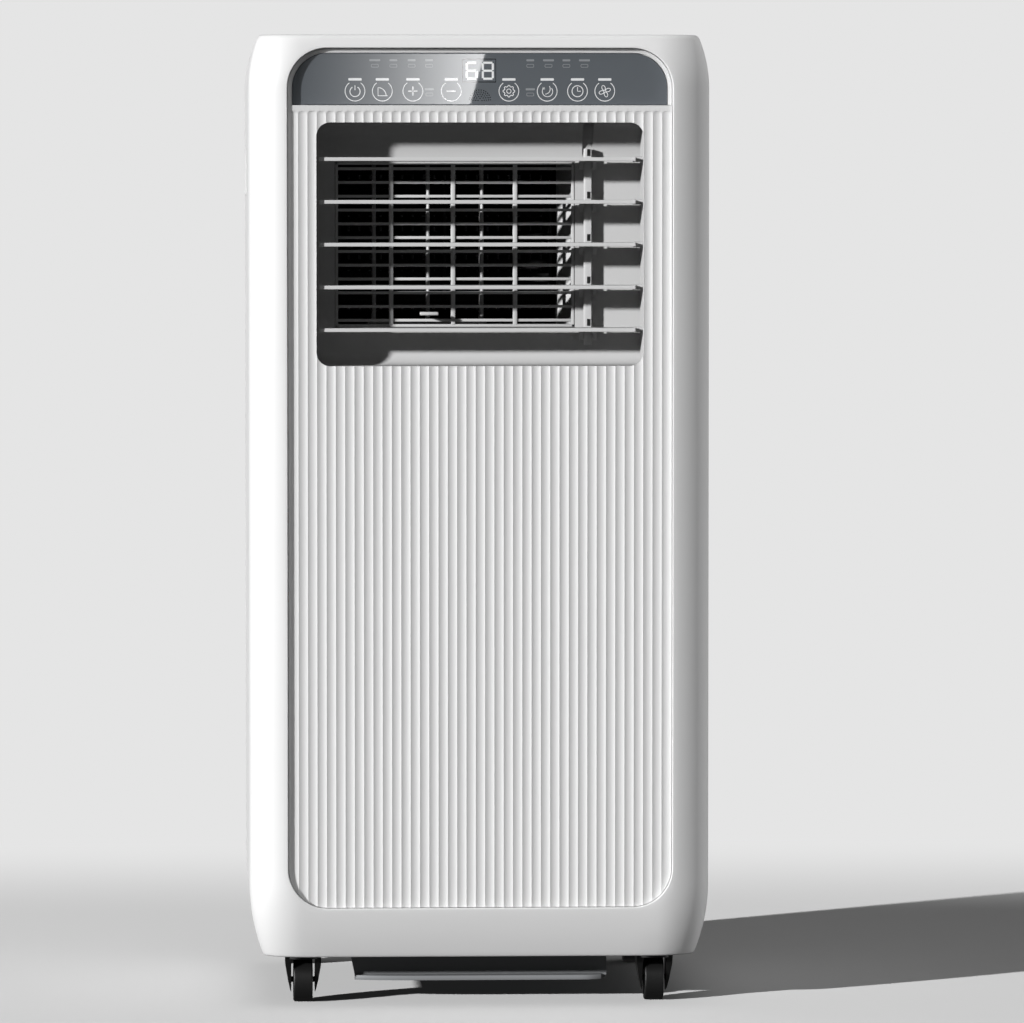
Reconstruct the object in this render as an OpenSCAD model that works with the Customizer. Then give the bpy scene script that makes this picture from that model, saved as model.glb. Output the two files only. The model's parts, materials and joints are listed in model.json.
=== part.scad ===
// Portable air conditioner on four swivel casters, origin on the floor under its centre.
// The front faces -Y, the exhaust outlet faces +Y and +Z is up.

/* [Cabinet] */
// Width of the cabinet
body_w = 320; // [320:1:326]
// Depth of the cabinet, front to back
body_d = 300; // [300:1:304]
// Height of the cabinet's top above the floor
body_top = 674; // [673:0.5:676]
// Height of the cabinet's lower edge above the floor
body_bottom = 34; // [33.5:0.5:34]
// Radius of the upright corners
corner_r = 27; // [26:0.5:27]
// Wall thickness of the shells
wall = 3; // [2.6:0.2:3]

/* [Front panel] */
// Width of the well in the front shell
well_w = 266.6; // [264:0.2:266.6]
// Lower edge of the well
well_bottom = 68.7; // [68:0.1:72]
// Upper edge of the well
well_top = 664.6; // [664:0.1:665]
// Corner radius of the well
well_r = 27.7; // [24:0.1:28]
// Depth of the well's side wall
well_depth = 14; // [12:0.5:14]
// Depth of the flute ridges below the rim
panel_sink = 4; // [3:0.5:5]
// Number of upright flutes
flute_count = 41; // [31:2:41]
// Distance between two flute ridges
flute_pitch = 6.455; // [6:0.005:6.455]
// Radius of one flute
flute_r = 8.6; // [7:0.1:12]
// Upper edge of the fluted panel
panel_top = 625.1; // [624:0.1:625.1]

/* [Air outlet] */
// Width of the outlet opening
vent_w = 226.6; // [226:0.1:227]
// Lower edge of the outlet opening
vent_bottom = 444.9; // [444:0.1:445.5]
// Upper edge of the outlet opening
vent_top = 613.3; // [613:0.1:614]
// Number of louvres
louvre_count = 5; // [5:1:5]
// Distance between two louvres
louvre_pitch = 29.55; // [29:0.05:30]
// Distance from a louvre's pivot to its front edge
louvre_chord_front = 17.5; // [15:0.5:18]
// Distance from a louvre's pivot to its rear edge
louvre_chord_rear = 8.5; // [7:0.5:8.5]
// Thickness of a louvre
louvre_t = 3.3; // [2.5:0.1:3.3]
// Distance between two horizontal grille bars
grille_pitch = 9.6; // [9:0.1:9.6]
// Number of horizontal grille bars
grille_bars = 12; // [10:1:12]
// Distance between two upright vanes
vane_pitch = 37.6; // [34:0.2:38]

/* [Casters] */
// Distance of a caster's swivel axis from the centre, sideways
caster_x = 122.7; // [118:0.1:123]
// Distance of a caster's swivel axis from the centre, front to back
caster_y = 118; // [112:1:118]
// Wheel radius
wheel_r = 15.4; // [14.6:0.1:15.4]
// Wheel width
wheel_w = 13.4; // [12:0.2:13.4]
// Trail of the wheel behind the swivel axis
caster_trail = 9; // [6:1:10]

/* [Hidden] */
$fn = 64;

// Small overlap that lets a cut run clean through a wall
eps = 1;
// Gap left around a part that drops into an opening
fit_gap = 0.4;
// Running clearance between a pin and its hole
run_gap = 0.06;

// Radii and starts of the curves that draw the cabinet in at its top and foot
top_curve_r = 94;
top_curve_z = body_top - 37;
foot_curve_r = 134;
foot_curve_z = body_bottom + 50;

// Opening in the cabinet's roof
roof_w = 276;
roof_d = 256;
roof_r = 18;

// Front faces of the layers behind the rim
front_y = -body_d / 2;
ridge_y = front_y + panel_sink;
panel_back_y = ridge_y + 4.5;
glass_y = front_y + 8.5;
glass_t = 3;
glass_w = 259.6;
glass_top = 661.1;
glass_bottom = panel_top + 0.3;
glass_r = 24.2;

// Outlet duct
duct_wall = 2.7;
duct_back_y = -106;
window_left = -99.7;
window_right = 67.7;
window_bottom = 470.8;
window_top = 586.4;
throat_right = 58.3;
throat_y = -60;
duct_end_y = -32;
duct_top_r = 26;
duct_bottom_r = 10;

// Louvres: their pivots and the pin that the link bar holds
louvre_y = -124.5;
louvre_z0 = 469.75;
louvre_w = 219;
louvre_pin_r = 2;
link_x0 = 73.6;
link_x1 = 79.1;
link_dy = 14;
link_dz = -6;
link_pin_r = 1.5;
lug_margin = 1.9;
link_rise = 13.4;
link_room = 0.9;

// Upright vanes: their pivots and the pin that their link bar holds
vane_y = -82;
vane_x0 = -71.8;
vane_t = 2.3;
vane_bottom = 478.5;
vane_top = 582;
vane_pin_r = 1.5;
vane_link_dy = 13;
vane_link_z = 474;
knob_z = 480.6;
tab_y = -117;

// Cross-flow blower behind the outlet
blower_y = 2;
blower_z = (window_bottom + window_top) / 2;
blower_r = 60;
blower_wheel_r = 46;
blower_x0 = -102;
blower_x1 = 61;
shaft_r = 4;

// Exhaust fan and its outlet collar
fan_x = 45;
fan_z = 200;
fan_r = 92;
fan_y0 = 8;
fan_y1 = 78;
fan_wheel_r = 76;
collar_x = 55;
collar_z = 365;
collar_r = 65;
collar_wall = 2.2;

// Rear windows, each as lower edge and upper edge
intake_w = 236;
upper_intake = [462, 642];
lower_intake = [84, 274];
intake_r = 8;
plug_bore_r = 6;
plug_upper = [-110, 446];
plug_lower = [-40, 56];
gland_pos = [-118, 330];
gland_r = 8;
screw_x = 126;
screw_zs = [72, 300, 652];

// Side grips
grip_y0 = 25;
grip_y1 = 115;
grip_z0 = 562;
grip_z1 = 598;
grip_depth = 20;

// Base pan
pan_z = 38;
pan_w = 295;
pan_d = 276;
tray_w = 180.6;
tray_y0 = -110;
tray_y1 = 90;
tray_z = 14;

// Compressor, its mounting feet and the accumulator beside it
comp_x = -85;
comp_y = -52;
comp_r = 52;
comp_z0 = 78;
comp_z1 = 232;
dome_r = 72;
dome_sink = 50;
foot_reach = 56;
foot_angles = [90, 210, 330];
foot_r = 9;
accu = [-8, -92];
accu_r = 19;
accu_z = [110, 220];

// Lower edge of the condenser
condenser_z0 = 78;

// Run capacitor
capacitor = [112, -86];

// Caster heights
socket_z = 35;
fork_top = socket_z - 0.4;
fork_plate = 3.2;
stem_r = 4;
axle_r = 2;
cheek_in = wheel_w / 2 + 1.6;
cheek_out = 12.6;

// ---------- shared shapes ----------

// Rectangle with round corners, centred
module rounded_plan(w, d, r) {
  square([w, d - 2 * r], center = true);
  square([w - 2 * r, d], center = true);
  for (sx = [-1, 1])
    for (sy = [-1, 1])
      translate([sx * (w / 2 - r), sy * (d / 2 - r)])
        circle(r);
}

// Rectangle with round corners from z0 to z1, centred on x
module rounded_front(w, z0, z1, r) {
  translate([0, (z0 + z1) / 2])
    rounded_plan(w, z1 - z0, r);
}

// Stands a front-view outline up between the planes y0 and y1
module stand(y0, y1) {
  translate([0, y1, 0])
    rotate([90, 0, 0])
      linear_extrude(y1 - y0)
        children();
}

// Runs a side-view outline, drawn as y and z, from x0 to x1
module across(x0, x1) {
  translate([x0, 0, 0])
    rotate([90, 0, 90])
      linear_extrude(x1 - x0)
        children();
}

// Cylinder along y, from y0 to y1
module rod_y(x, z, r, y0, y1) {
  translate([x, y1, z])
    rotate([90, 0, 0])
      cylinder(h = y1 - y0, r = r);
}

// Cylinder along x, from x0 to x1
module rod_x(y, z, r, x0, x1) {
  translate([x0, y, z])
    rotate([0, 90, 0])
      cylinder(h = x1 - x0, r = r);
}

// Block between two corners
module block(a, b) {
  translate(a)
    cube(b - a);
}

// Round tube along a list of points, with a ball at each bend
module pipe_run(points, r) {
  for (i = [0 : len(points) - 2]) {
    v = points[i + 1] - points[i];
    reach = norm(v);
    translate(points[i])
      rotate([0, acos(v[2] / reach), atan2(v[1], v[0])])
        cylinder(h = reach, r = r);
  }
  for (i = [1 : len(points) - 2])
    translate(points[i])
      sphere(r);
}

// ---------- cabinet ----------

// Right half of the cabinet's outline, its side half away from the middle
module half_outline(half, inset, z0, z1) {
  translate([0, foot_curve_z])
    square([half, top_curve_z - foot_curve_z]);
  intersection() {
    translate([0, top_curve_z])
      square([half, z1 - top_curve_z]);
    translate([half + inset - top_curve_r, top_curve_z])
      circle(top_curve_r - inset);
  }
  intersection() {
    translate([0, z0])
      square([half, foot_curve_z - z0]);
    translate([half + inset - foot_curve_r, foot_curve_z])
      circle(foot_curve_r - inset);
  }
}

// Outline of the cabinet seen square on, half is half its width
module cabinet_outline(half, inset, z0, z1) {
  half_outline(half, inset, z0, z1);
  mirror([1, 0])
    half_outline(half, inset, z0, z1);
}

// Solid of the cabinet, drawn in by inset all round, from z0 to z1
module cabinet(inset, z0, z1) {
  core_x = body_w / 2 - corner_r;
  core_y = body_d / 2 - corner_r;
  stand(-core_y, core_y)
    cabinet_outline(body_w / 2 - inset, inset, z0, z1);
  across(-core_x, core_x)
    cabinet_outline(body_d / 2 - inset, inset, z0, z1);
  for (corner = [[core_x, core_y, 0], [-core_x, core_y, 90],
                 [-core_x, -core_y, 180], [core_x, -core_y, 270]])
    translate([corner[0], corner[1], 0])
      rotate(corner[2])
        rotate_extrude(angle = 90)
          half_outline(corner_r - inset, inset, z0, z1);
}

// Hollow cabinet with its roof opening, before it is parted at the seam
module cabinet_shell() {
  difference() {
    cabinet(0, body_bottom, body_top);
    cabinet(wall, body_bottom - eps, body_top - wall);
    translate([0, 0, body_top - wall - eps])
      linear_extrude(wall + 2 * eps)
        rounded_plan(roof_w, roof_d, roof_r);
  }
}

module front_shell() {
  color("white") {
    difference() {
      cabinet_shell();
      block([-body_w, 0, 0], [body_w, body_d, body_top + eps]);
      stand(front_y - eps, front_y + wall + eps)
        rounded_front(well_w, well_bottom, well_top, well_r);
    }
    difference() {
      stand(front_y + 1, front_y + well_depth)
        rounded_front(well_w + 2 * wall, well_bottom - wall, well_top + wall, well_r + wall);
      stand(front_y - eps, front_y + well_depth + eps)
        rounded_front(well_w, well_bottom, well_top, well_r);
    }
  }
}

module rear_cover() {
  back_y = body_d / 2;
  color("white")
    difference() {
      union() {
        difference() {
          cabinet_shell();
          block([-body_w, -body_d, 0], [body_w, 0.3, body_top + eps]);
        }
        for (sx = [-1, 1])
          for (z = screw_zs)
            rod_y(sx * screw_x, z, 5, back_y - 22, back_y - wall / 2);
      }
      for (w = [upper_intake, lower_intake])
        stand(back_y - wall - eps, back_y + eps)
          rounded_front(intake_w, w[0], w[1], intake_r);
      rod_y(collar_x, collar_z, collar_r + collar_wall + fit_gap, back_y - 10, back_y + eps);
      for (p = [plug_upper, plug_lower])
        rod_y(p[0], p[1], plug_bore_r + 3.3, back_y - 10, back_y + eps);
      rod_y(gland_pos[0], gland_pos[1], gland_r, back_y - 10, back_y + eps);
      for (sx = [-1, 1])
        for (z = screw_zs) {
          rod_y(sx * screw_x, z, 1.8, back_y - 23, back_y + eps);
          rod_y(sx * screw_x, z, 4, back_y - 3.8, back_y + eps);
        }
      for (sx = [-1, 1])
        block([sx > 0 ? body_w / 2 - 10 : -body_w / 2 - eps, grip_y0, grip_z0],
              [sx > 0 ? body_w / 2 + eps : -body_w / 2 + 10, grip_y1, grip_z1]);
    }
}

module top_cover() {
  color("white") {
    translate([0, 0, body_top - wall])
      linear_extrude(wall)
        rounded_plan(roof_w - 2 * fit_gap, roof_d - 2 * fit_gap, roof_r - fit_gap);
    translate([0, 0, body_top - wall - 7])
      linear_extrude(7)
        difference() {
          rounded_plan(roof_w - 8, roof_d - 8, roof_r - 4);
          rounded_plan(roof_w - 13, roof_d - 13, roof_r - 6.5);
        }
  }
}

// One side grip: a cup open to the right, its mouth flush with the cabinet's side
module grip_cup() {
  x1 = body_w / 2;
  gap = 0.3;
  lip = 2;
  difference() {
    block([x1 - grip_depth, grip_y0 + gap, grip_z0 + gap], [x1, grip_y1 - gap, grip_z1 - gap]);
    block([x1 - grip_depth + lip, grip_y0 + gap + lip, grip_z0 + gap + lip],
          [x1 + eps, grip_y1 - gap - lip, grip_z1 - gap - lip]);
  }
}

module handle_right() {
  color("whitesmoke")
    grip_cup();
}

module handle_left() {
  color("whitesmoke")
    mirror([1, 0, 0])
      grip_cup();
}

module cover_screws() {
  back_y = body_d / 2;
  color("silver")
    for (sx = [-1, 1])
      for (z = screw_zs)
        difference() {
          union() {
            rod_y(sx * screw_x, z, 1.7, back_y - 20, back_y - 3);
            rod_y(sx * screw_x, z, 3.6, back_y - 3.7, back_y - 1.2);
          }
          block([sx * screw_x - 2.4, back_y - 2.4, z - 0.45], [sx * screw_x + 2.4, back_y, z + 0.45]);
          block([sx * screw_x - 0.45, back_y - 2.4, z - 2.4], [sx * screw_x + 0.45, back_y, z + 2.4]);
        }
}

// ---------- front panel and controls ----------

// Well outline less a margin all round, cut off above z
module well_part(margin, z0, z1) {
  intersection() {
    rounded_front(well_w - 2 * margin, well_bottom + margin, well_top - margin, well_r - margin);
    translate([-body_w, z0])
      square([2 * body_w, z1 - z0]);
  }
}

module fluted_panel() {
  margin = 4.2;
  color("white")
    difference() {
      stand(ridge_y, panel_back_y)
        well_part(fit_gap, 0, panel_top);
      translate([0, 0, well_bottom - eps])
        linear_extrude(panel_top - margin - well_bottom + eps)
          for (i = [0 : flute_count - 1])
            translate([(i - (flute_count - 1) / 2) * flute_pitch,
                       ridge_y - sqrt(flute_r * flute_r - flute_pitch * flute_pitch / 4)])
              circle(flute_r);
      stand(ridge_y - eps, panel_back_y + eps)
        rounded_front(vent_w, vent_bottom, vent_top, 9.7);
    }
}

module control_bezel() {
  back_y = glass_y + glass_t;
  color("white") {
    difference() {
      stand(back_y, back_y + 2.5)
        well_part(fit_gap, glass_bottom, well_top);
      stand(back_y - eps, back_y + 2.5 + eps)
        rounded_front(224, glass_bottom + 4, glass_top - 4, 5);
    }
    difference() {
      stand(glass_y + 0.5, back_y + 0.5)
        well_part(fit_gap, glass_bottom, well_top);
      stand(glass_y - eps, back_y + eps)
        glass_outline(0.3);
    }
  }
}

// Outline of the glass, grown by a margin
module glass_outline(margin) {
  half = glass_w / 2 + margin;
  top = glass_top + margin;
  translate([-half, glass_bottom - eps])
    square([2 * half, top - glass_r - glass_bottom + eps]);
  translate([-half + glass_r, glass_bottom - eps])
    square([2 * (half - glass_r), top - glass_bottom + eps]);
  for (s = [-1, 1])
    translate([s * (half - glass_r), top - glass_r])
      circle(glass_r);
}

module control_glass() {
  color("slategray")
    intersection() {
      stand(glass_y, glass_y + glass_t)
        glass_outline(0);
      block([-body_w, front_y, glass_bottom], [body_w, 0, body_top]);
    }
}

module display_module() {
  color("black")
    block([-13, glass_y + glass_t, 641], [13, glass_y + glass_t + 5, 656]);
}

module control_board() {
  board_y = glass_y + glass_t + 5;
  color("darkgreen") {
    block([-108, board_y, 631], [108, board_y + 1.6, 656]);
    for (x = [-90, -70, -50, -30, 24, 44, 64, 84])
      rod_y(x, 637, 4.5, glass_y + glass_t, board_y);
    block([60, board_y + 1.6, 634], [84, board_y + 6, 644]);
  }
}

// ---------- air outlet ----------

// Side view of the outlet hollow, grown by a margin
module hollow_side(margin) {
  y0 = panel_back_y;
  y1 = duct_back_y + margin;
  z0 = vent_bottom - margin;
  z1 = vent_top + margin;
  top_r = duct_top_r + margin;
  foot_r = duct_bottom_r + margin;
  intersection() {
    translate([y0, z0])
      square([y1 - y0, z1 - z0]);
    union() {
      translate([y0, z0 + foot_r])
        square([y1 - y0, z1 - z0 - foot_r - top_r]);
      translate([y1 - top_r, z1 - top_r])
        circle(top_r);
      translate([y1 - foot_r, z0 + foot_r])
        circle(foot_r);
      translate([y0 - top_r, z1 - 2 * top_r])
        square([y1 - y0, 2 * top_r]);
      translate([y0 - foot_r, z0])
        square([y1 - y0, 2 * foot_r]);
    }
  }
}

// Plan of the throat behind the window, grown by a margin
module throat_plan(margin, y0, y1) {
  bend = margin / 4;
  polygon([[window_left - margin, y0],
           [window_right + margin, y0],
           [window_right + margin, duct_back_y + 10 + bend],
           [throat_right + margin, throat_y + bend],
           [throat_right + margin, y1],
           [window_left - margin, y1]]);
}

// Square recess in the duct's upper rear corner that the link bar rises into, grown by a margin
module link_pocket(margin) {
  block([link_x0 - link_room - margin, duct_back_y - duct_top_r + 2, vent_top - duct_top_r],
        [link_x1 + link_room + margin, duct_back_y + margin, vent_top + margin]);
}

module vent_duct() {
  half = vent_w / 2;
  color("whitesmoke")
    difference() {
      union() {
        across(-half - duct_wall, half + duct_wall)
          hollow_side(duct_wall);
        translate([0, 0, window_bottom - duct_wall])
          linear_extrude(window_top - window_bottom + 2 * duct_wall)
            throat_plan(duct_wall, duct_back_y + 1, duct_end_y);
        link_pocket(duct_wall);
      }
      link_pocket(0);
      across(-half, half)
        hollow_side(0);
      across(-half, half)
        translate([panel_back_y - eps, vent_bottom])
          square([2 * eps, vent_top - vent_bottom]);
      translate([0, 0, window_bottom])
        linear_extrude(window_top - window_bottom)
          throat_plan(0, duct_back_y - eps, duct_end_y + eps);
      for (i = [0 : louvre_count - 1])
        rod_x(louvre_y, louvre_z0 + i * louvre_pitch, louvre_pin_r + run_gap, -half - 5, half + 5);
      for (i = [0 : 2])
        translate([vane_x0 + i * vane_pitch, vane_y, window_bottom - 5])
          cylinder(h = window_top - window_bottom + 10, r = vane_pin_r + run_gap);
    }
}

module vent_grille() {
  x0 = window_left + 0.3;
  x1 = window_right - 0.3;
  z0 = window_bottom + 0.3;
  z1 = window_top - 0.3;
  y0 = duct_back_y + 1;
  bar = 2;
  rib = 3;
  bar_z0 = blower_z - grille_pitch * (grille_bars - 1) / 2;
  color("whitesmoke") {
    difference() {
      block([x0, y0, z0], [x1, y0 + 8, z1]);
      block([x0 + bar, y0 - eps, z0 + bar], [x1 - bar, y0 + 8 + eps, z1 - bar]);
    }
    for (i = [0 : grille_bars - 1])
      block([x0 + 1, y0 + 1, bar_z0 + i * grille_pitch - bar / 2],
            [x1 - 1, y0 + 7, bar_z0 + i * grille_pitch + bar / 2]);
    for (x = [-60.4, -17.2, 26.1])
      block([x - rib / 2, y0, z0 + 1], [x + rib / 2, y0 + 7.5, z1 - 1]);
  }
}

// One louvre; the driven one has a longer pin that reaches the swing motor
module louvre(index) {
  z = louvre_z0 + (louvre_count - index) * louvre_pitch;
  half = louvre_w / 2;
  pin_end = vent_w / 2 + 2;
  drive_end = index == 3 ? pin_end + 12 : pin_end;
  nose_r = 1;
  foot_z = link_dz - lug_margin;
  color("white") {
    across(-half, half)
      translate([louvre_y, z]) {
        translate([-louvre_chord_front, -louvre_t / 2 + nose_r])
          square([louvre_chord_front + louvre_chord_rear, louvre_t - 2 * nose_r]);
        translate([-louvre_chord_front + nose_r, -louvre_t / 2])
          square([louvre_chord_front + louvre_chord_rear - 2 * nose_r, louvre_t]);
        for (y = [-louvre_chord_front + nose_r, louvre_chord_rear - nose_r])
          for (s = [-1, 1])
            translate([y, s * (louvre_t / 2 - nose_r)])
              circle(nose_r);
      }
    rod_x(louvre_y, z, louvre_pin_r, -pin_end, -half + 2);
    rod_x(louvre_y, z, louvre_pin_r, half - 2, drive_end);
    for (x = [link_x0 - 3.4, link_x1 + 0.4])
      across(x, x + 3)
        translate([louvre_y, z])
          polygon([[1, 0], [7.5, 0], [link_dy + lug_margin, link_dz + 1],
                   [link_dy + lug_margin, foot_z], [link_dy - lug_margin, foot_z]]);
    rod_x(louvre_y + link_dy, z + link_dz, link_pin_r, link_x0 - 1, link_x1 + 1);
  }
}

// Upright bar that holds all louvres parallel
module louvre_link() {
  y = louvre_y + link_dy;
  z0 = louvre_z0 + link_dz;
  z1 = z0 + (louvre_count - 1) * louvre_pitch;
  half_d = 2.4;
  color("white")
    difference() {
      block([link_x0, y - half_d, z0 - 5], [link_x1, y + half_d, z1 + link_rise]);
      for (i = [0 : louvre_count - 1]) {
        rod_x(y, z0 + i * louvre_pitch, link_pin_r + run_gap, link_x0 - eps, link_x1 + eps);
        block([link_x0 + 2.2, y - half_d - eps, z0 + i * louvre_pitch + 8.2],
              [link_x1 - 0.7, y - half_d + 2, z0 + i * louvre_pitch + 13]);
      }
    }
}

module swing_motor() {
  x0 = vent_w / 2 + duct_wall + 0.4;
  z = louvre_z0 + 2 * louvre_pitch;
  color("lightgray")
    difference() {
      union() {
        rod_x(louvre_y, z, 12, x0, x0 + 16.5);
        block([x0, louvre_y - 5, z - 17], [x0 + 1.5, louvre_y + 5, z + 17]);
        block([x0 + 3, louvre_y + 8, z - 8], [x0 + 15, louvre_y + 16, z + 8]);
      }
      rod_x(louvre_y, z, louvre_pin_r + run_gap, x0 - eps, x0 + 12);
    }
}

// One upright vane; the middle one has a finger tab that reaches through the grille
module vane(index) {
  x = vane_x0 + (index - 1) * vane_pitch;
  color("whitesmoke") {
    block([x - vane_t / 2, vane_y - 11, vane_bottom], [x + vane_t / 2, vane_y + 11, vane_top]);
    translate([x, vane_y, window_bottom - 2])
      cylinder(h = window_top - window_bottom + 4, r = vane_pin_r);
    translate([x, vane_y + vane_link_dy, vane_link_z - 2])
      cylinder(h = vane_bottom - vane_link_z + 4, r = vane_pin_r);
    translate([x, vane_y + 8, vane_bottom])
      block([-vane_t / 2, 0, 0], [vane_t / 2, vane_link_dy - 6, 3]);
    if (index == 2) {
      block([x - 1.5, tab_y + 7, knob_z - 1.1], [x + 1.5, vane_y - 5, knob_z + 1.1]);
      block([x - 6.5, tab_y, knob_z - 1.2], [x + 6.5, tab_y + 7.5, knob_z + 1.2]);
    }
  }
}

// Bar that holds all vanes parallel
module vane_link() {
  y = vane_y + vane_link_dy;
  x1 = vane_x0 + 2 * vane_pitch;
  color("whitesmoke")
    difference() {
      block([vane_x0 - 4, y - 3, vane_link_z - 1.2], [x1 + 4, y + 3, vane_link_z + 1.2]);
      for (i = [0 : 2])
        translate([vane_x0 + i * vane_pitch, y, vane_link_z - 3])
          cylinder(h = 6, r = vane_pin_r + run_gap);
    }
}

// ---------- room-air blower ----------

// Side view of the blower's scroll, grown by a margin
module scroll_side(margin) {
  r = blower_r - duct_wall + margin;
  mouth_y = duct_end_y + 0.3;
  intersection() {
    translate([blower_y, blower_z])
      circle(r);
    translate([mouth_y, blower_z - r])
      square(2 * r);
  }
  translate([mouth_y, blower_z - r])
    square([blower_y - mouth_y, 2 * r]);
}

module blower_housing() {
  color("lightgray")
    difference() {
      across(blower_x0, blower_x1)
        scroll_side(duct_wall);
      across(blower_x0 + duct_wall, blower_x1 - duct_wall) {
        scroll_side(0);
        translate([duct_end_y - eps, blower_z - blower_r + duct_wall])
          square([20, 2 * (blower_r - duct_wall)]);
        translate([blower_y + 30, blower_z - blower_r])
          square([blower_r, 2 * blower_r]);
      }
      rod_x(blower_y, blower_z, shaft_r + 3, blower_x0 - eps, blower_x1 + eps);
    }
}

module blower_wheel() {
  x0 = blower_x0 + 6;
  x1 = blower_x1 - 6;
  disc = 2;
  blades = 26;
  color("dimgray") {
    for (x = [x0, (x0 + x1 - disc) / 2, x1 - disc])
      rod_x(blower_y, blower_z, blower_wheel_r, x, x + disc);
    for (i = [0 : blades - 1])
      translate([0, blower_y, blower_z])
        rotate([i * 360 / blades, 0, 0])
          translate([0, 0, blower_wheel_r - 4.5])
            rotate([30, 0, 0])
              block([x0 + 1, -0.6, -4], [x1 - 1, 0.6, 4]);
    rod_x(blower_y, blower_z, shaft_r, blower_x0 - 3, blower_x1 + 14);
  }
}

module blower_motor() {
  color("silver")
    difference() {
      union() {
        rod_x(blower_y, blower_z, 33, blower_x1 + 4, blower_x1 + 42);
        rod_x(blower_y, blower_z, 12, blower_x1 + 0.4, blower_x1 + 5);
        for (a = [45 : 90 : 315])
          translate([0, blower_y, blower_z])
            rotate([a, 0, 0])
              block([blower_x1 + 6, -4, 30], [blower_x1 + 9, 4, 42]);
      }
      rod_x(blower_y, blower_z, shaft_r + run_gap, blower_x1 - eps, blower_x1 + 20);
    }
}

// ---------- heat exchangers ----------

// Finned coil with hairpin tubes that run side to side
module finned_coil(x0, x1, y0, y1, z0, z1, fins, tubes) {
  step = (x1 - x0 - 16) / (fins - 1);
  rise = (z1 - z0) / tubes;
  y = (y0 + y1) / 2;
  tube_r = 4;
  for (i = [0 : fins - 1])
    block([x0 + 8 + i * step - 0.6, y0, z0], [x0 + 8 + i * step + 0.6, y1, z1]);
  for (k = [0 : tubes - 1])
    rod_x(y, z0 + (k + 0.5) * rise, tube_r, x0, x1);
  for (k = [0 : tubes - 2])
    translate([k % 2 == 0 ? x1 - 4 : x0, y - tube_r, z0 + (k + 0.5) * rise])
      cube([4, 2 * tube_r, rise]);
}

module evaporator_coil() {
  color("silver")
    finned_coil(-124, 124, 90, 122, 462, 646, 31, 7);
}

module condenser_coil() {
  color("silver")
    finned_coil(-126, 126, 90, 122, condenser_z0, 284, 31, 8);
}

module divider_tray() {
  z = 440.5;
  color("lightgray") {
    difference() {
      union() {
        block([-142, -94, z], [142, 130, z + 16]);
        rod_y(plug_upper[0], plug_upper[1], plug_bore_r + 3, 128, 146);
      }
      block([-140, -92, z + 2], [140, 128, z + 16 + eps]);
      rod_y(plug_upper[0], plug_upper[1], plug_bore_r, 120, 146 + eps);
    }
    for (x = [-125, 125])
      block([x - 6, 91, z + 2], [x + 6, 121, z + 21]);
  }
}

// ---------- exhaust fan ----------

// Front view of the exhaust scroll, shrunk by a margin
module fan_front(margin) {
  translate([fan_x, fan_z])
    circle(fan_r - margin);
  translate([-15 + margin, fan_z])
    square([fan_x + fan_r + 15 - 2 * margin, 236 - margin]);
}

module exhaust_fan_housing() {
  skin = 2.5;
  color("lightgray")
    difference() {
      stand(fan_y0, fan_y1)
        fan_front(0);
      stand(fan_y0 + skin, fan_y1 - skin)
        fan_front(skin);
      rod_y(fan_x, fan_z, 58, fan_y1 - 10, fan_y1 + eps);
      rod_y(fan_x, fan_z, 14, fan_y0 - eps, fan_y0 + 10);
      rod_y(collar_x, collar_z, collar_r, fan_y1 - 10, fan_y1 + eps);
    }
}

module exhaust_fan_wheel() {
  y0 = fan_y0 + 6;
  y1 = fan_y1 - 8;
  blades = 30;
  color("dimgray") {
    rod_y(fan_x, fan_z, fan_wheel_r, y0, y0 + 2.5);
    difference() {
      rod_y(fan_x, fan_z, fan_wheel_r, y1 - 3, y1);
      rod_y(fan_x, fan_z, fan_wheel_r - 12, y1 - 5, y1 + 2);
    }
    for (i = [0 : blades - 1])
      translate([fan_x, 0, fan_z])
        rotate([0, i * 360 / blades, 0])
          translate([0, 0, fan_wheel_r - 6])
            rotate([0, 35, 0])
              block([-0.7, y0 + 1, -4], [0.7, y1 - 1, 4]);
    rod_y(fan_x, fan_z, 14, y0, y0 + 26);
    rod_y(fan_x, fan_z, shaft_r, fan_y0 - 14, y0 + 30);
  }
}

module exhaust_fan_motor() {
  color("silver")
    difference() {
      union() {
        rod_y(fan_x, fan_z, 34, fan_y0 - 48, fan_y0 - 4);
        rod_y(fan_x, fan_z, 11, fan_y0 - 5, fan_y0 - 0.4);
        for (a = [0 : 90 : 270])
          translate([fan_x, 0, fan_z])
            rotate([0, a, 0])
              block([-5, fan_y0 - 8, 30], [5, fan_y0 - 0.4, 44]);
      }
      rod_y(fan_x, fan_z, shaft_r + run_gap, fan_y0 - 20, fan_y0 + eps);
    }
}

module exhaust_collar() {
  back_y = body_d / 2;
  color("whitesmoke")
    difference() {
      union() {
        rod_y(collar_x, collar_z, collar_r + collar_wall, fan_y1 + 0.3, back_y);
        rod_y(collar_x, collar_z, collar_r + 9, back_y - wall - 3, back_y - wall);
      }
      rod_y(collar_x, collar_z, collar_r, fan_y1, back_y + eps);
    }
}

// ---------- refrigeration circuit ----------

module compressor() {
  color("black") {
    difference() {
      translate([comp_x, comp_y, comp_z0])
        cylinder(h = comp_z1 - comp_z0, r = comp_r);
      translate([comp_x, comp_y, comp_z0 - eps])
        cylinder(h = 3, r = comp_r - 4);
    }
    intersection() {
      translate([comp_x, comp_y, comp_z1 - dome_sink])
        sphere(dome_r);
      translate([comp_x, comp_y, comp_z1 - eps])
        cylinder(h = 40, r = comp_r);
    }
    translate([comp_x, comp_y, comp_z0])
      linear_extrude(4)
        for (a = foot_angles)
          rotate(a) {
            translate([0, -foot_r])
              square([foot_reach, 2 * foot_r]);
            translate([foot_reach, 0])
              circle(foot_r);
          }
  }
}

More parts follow.
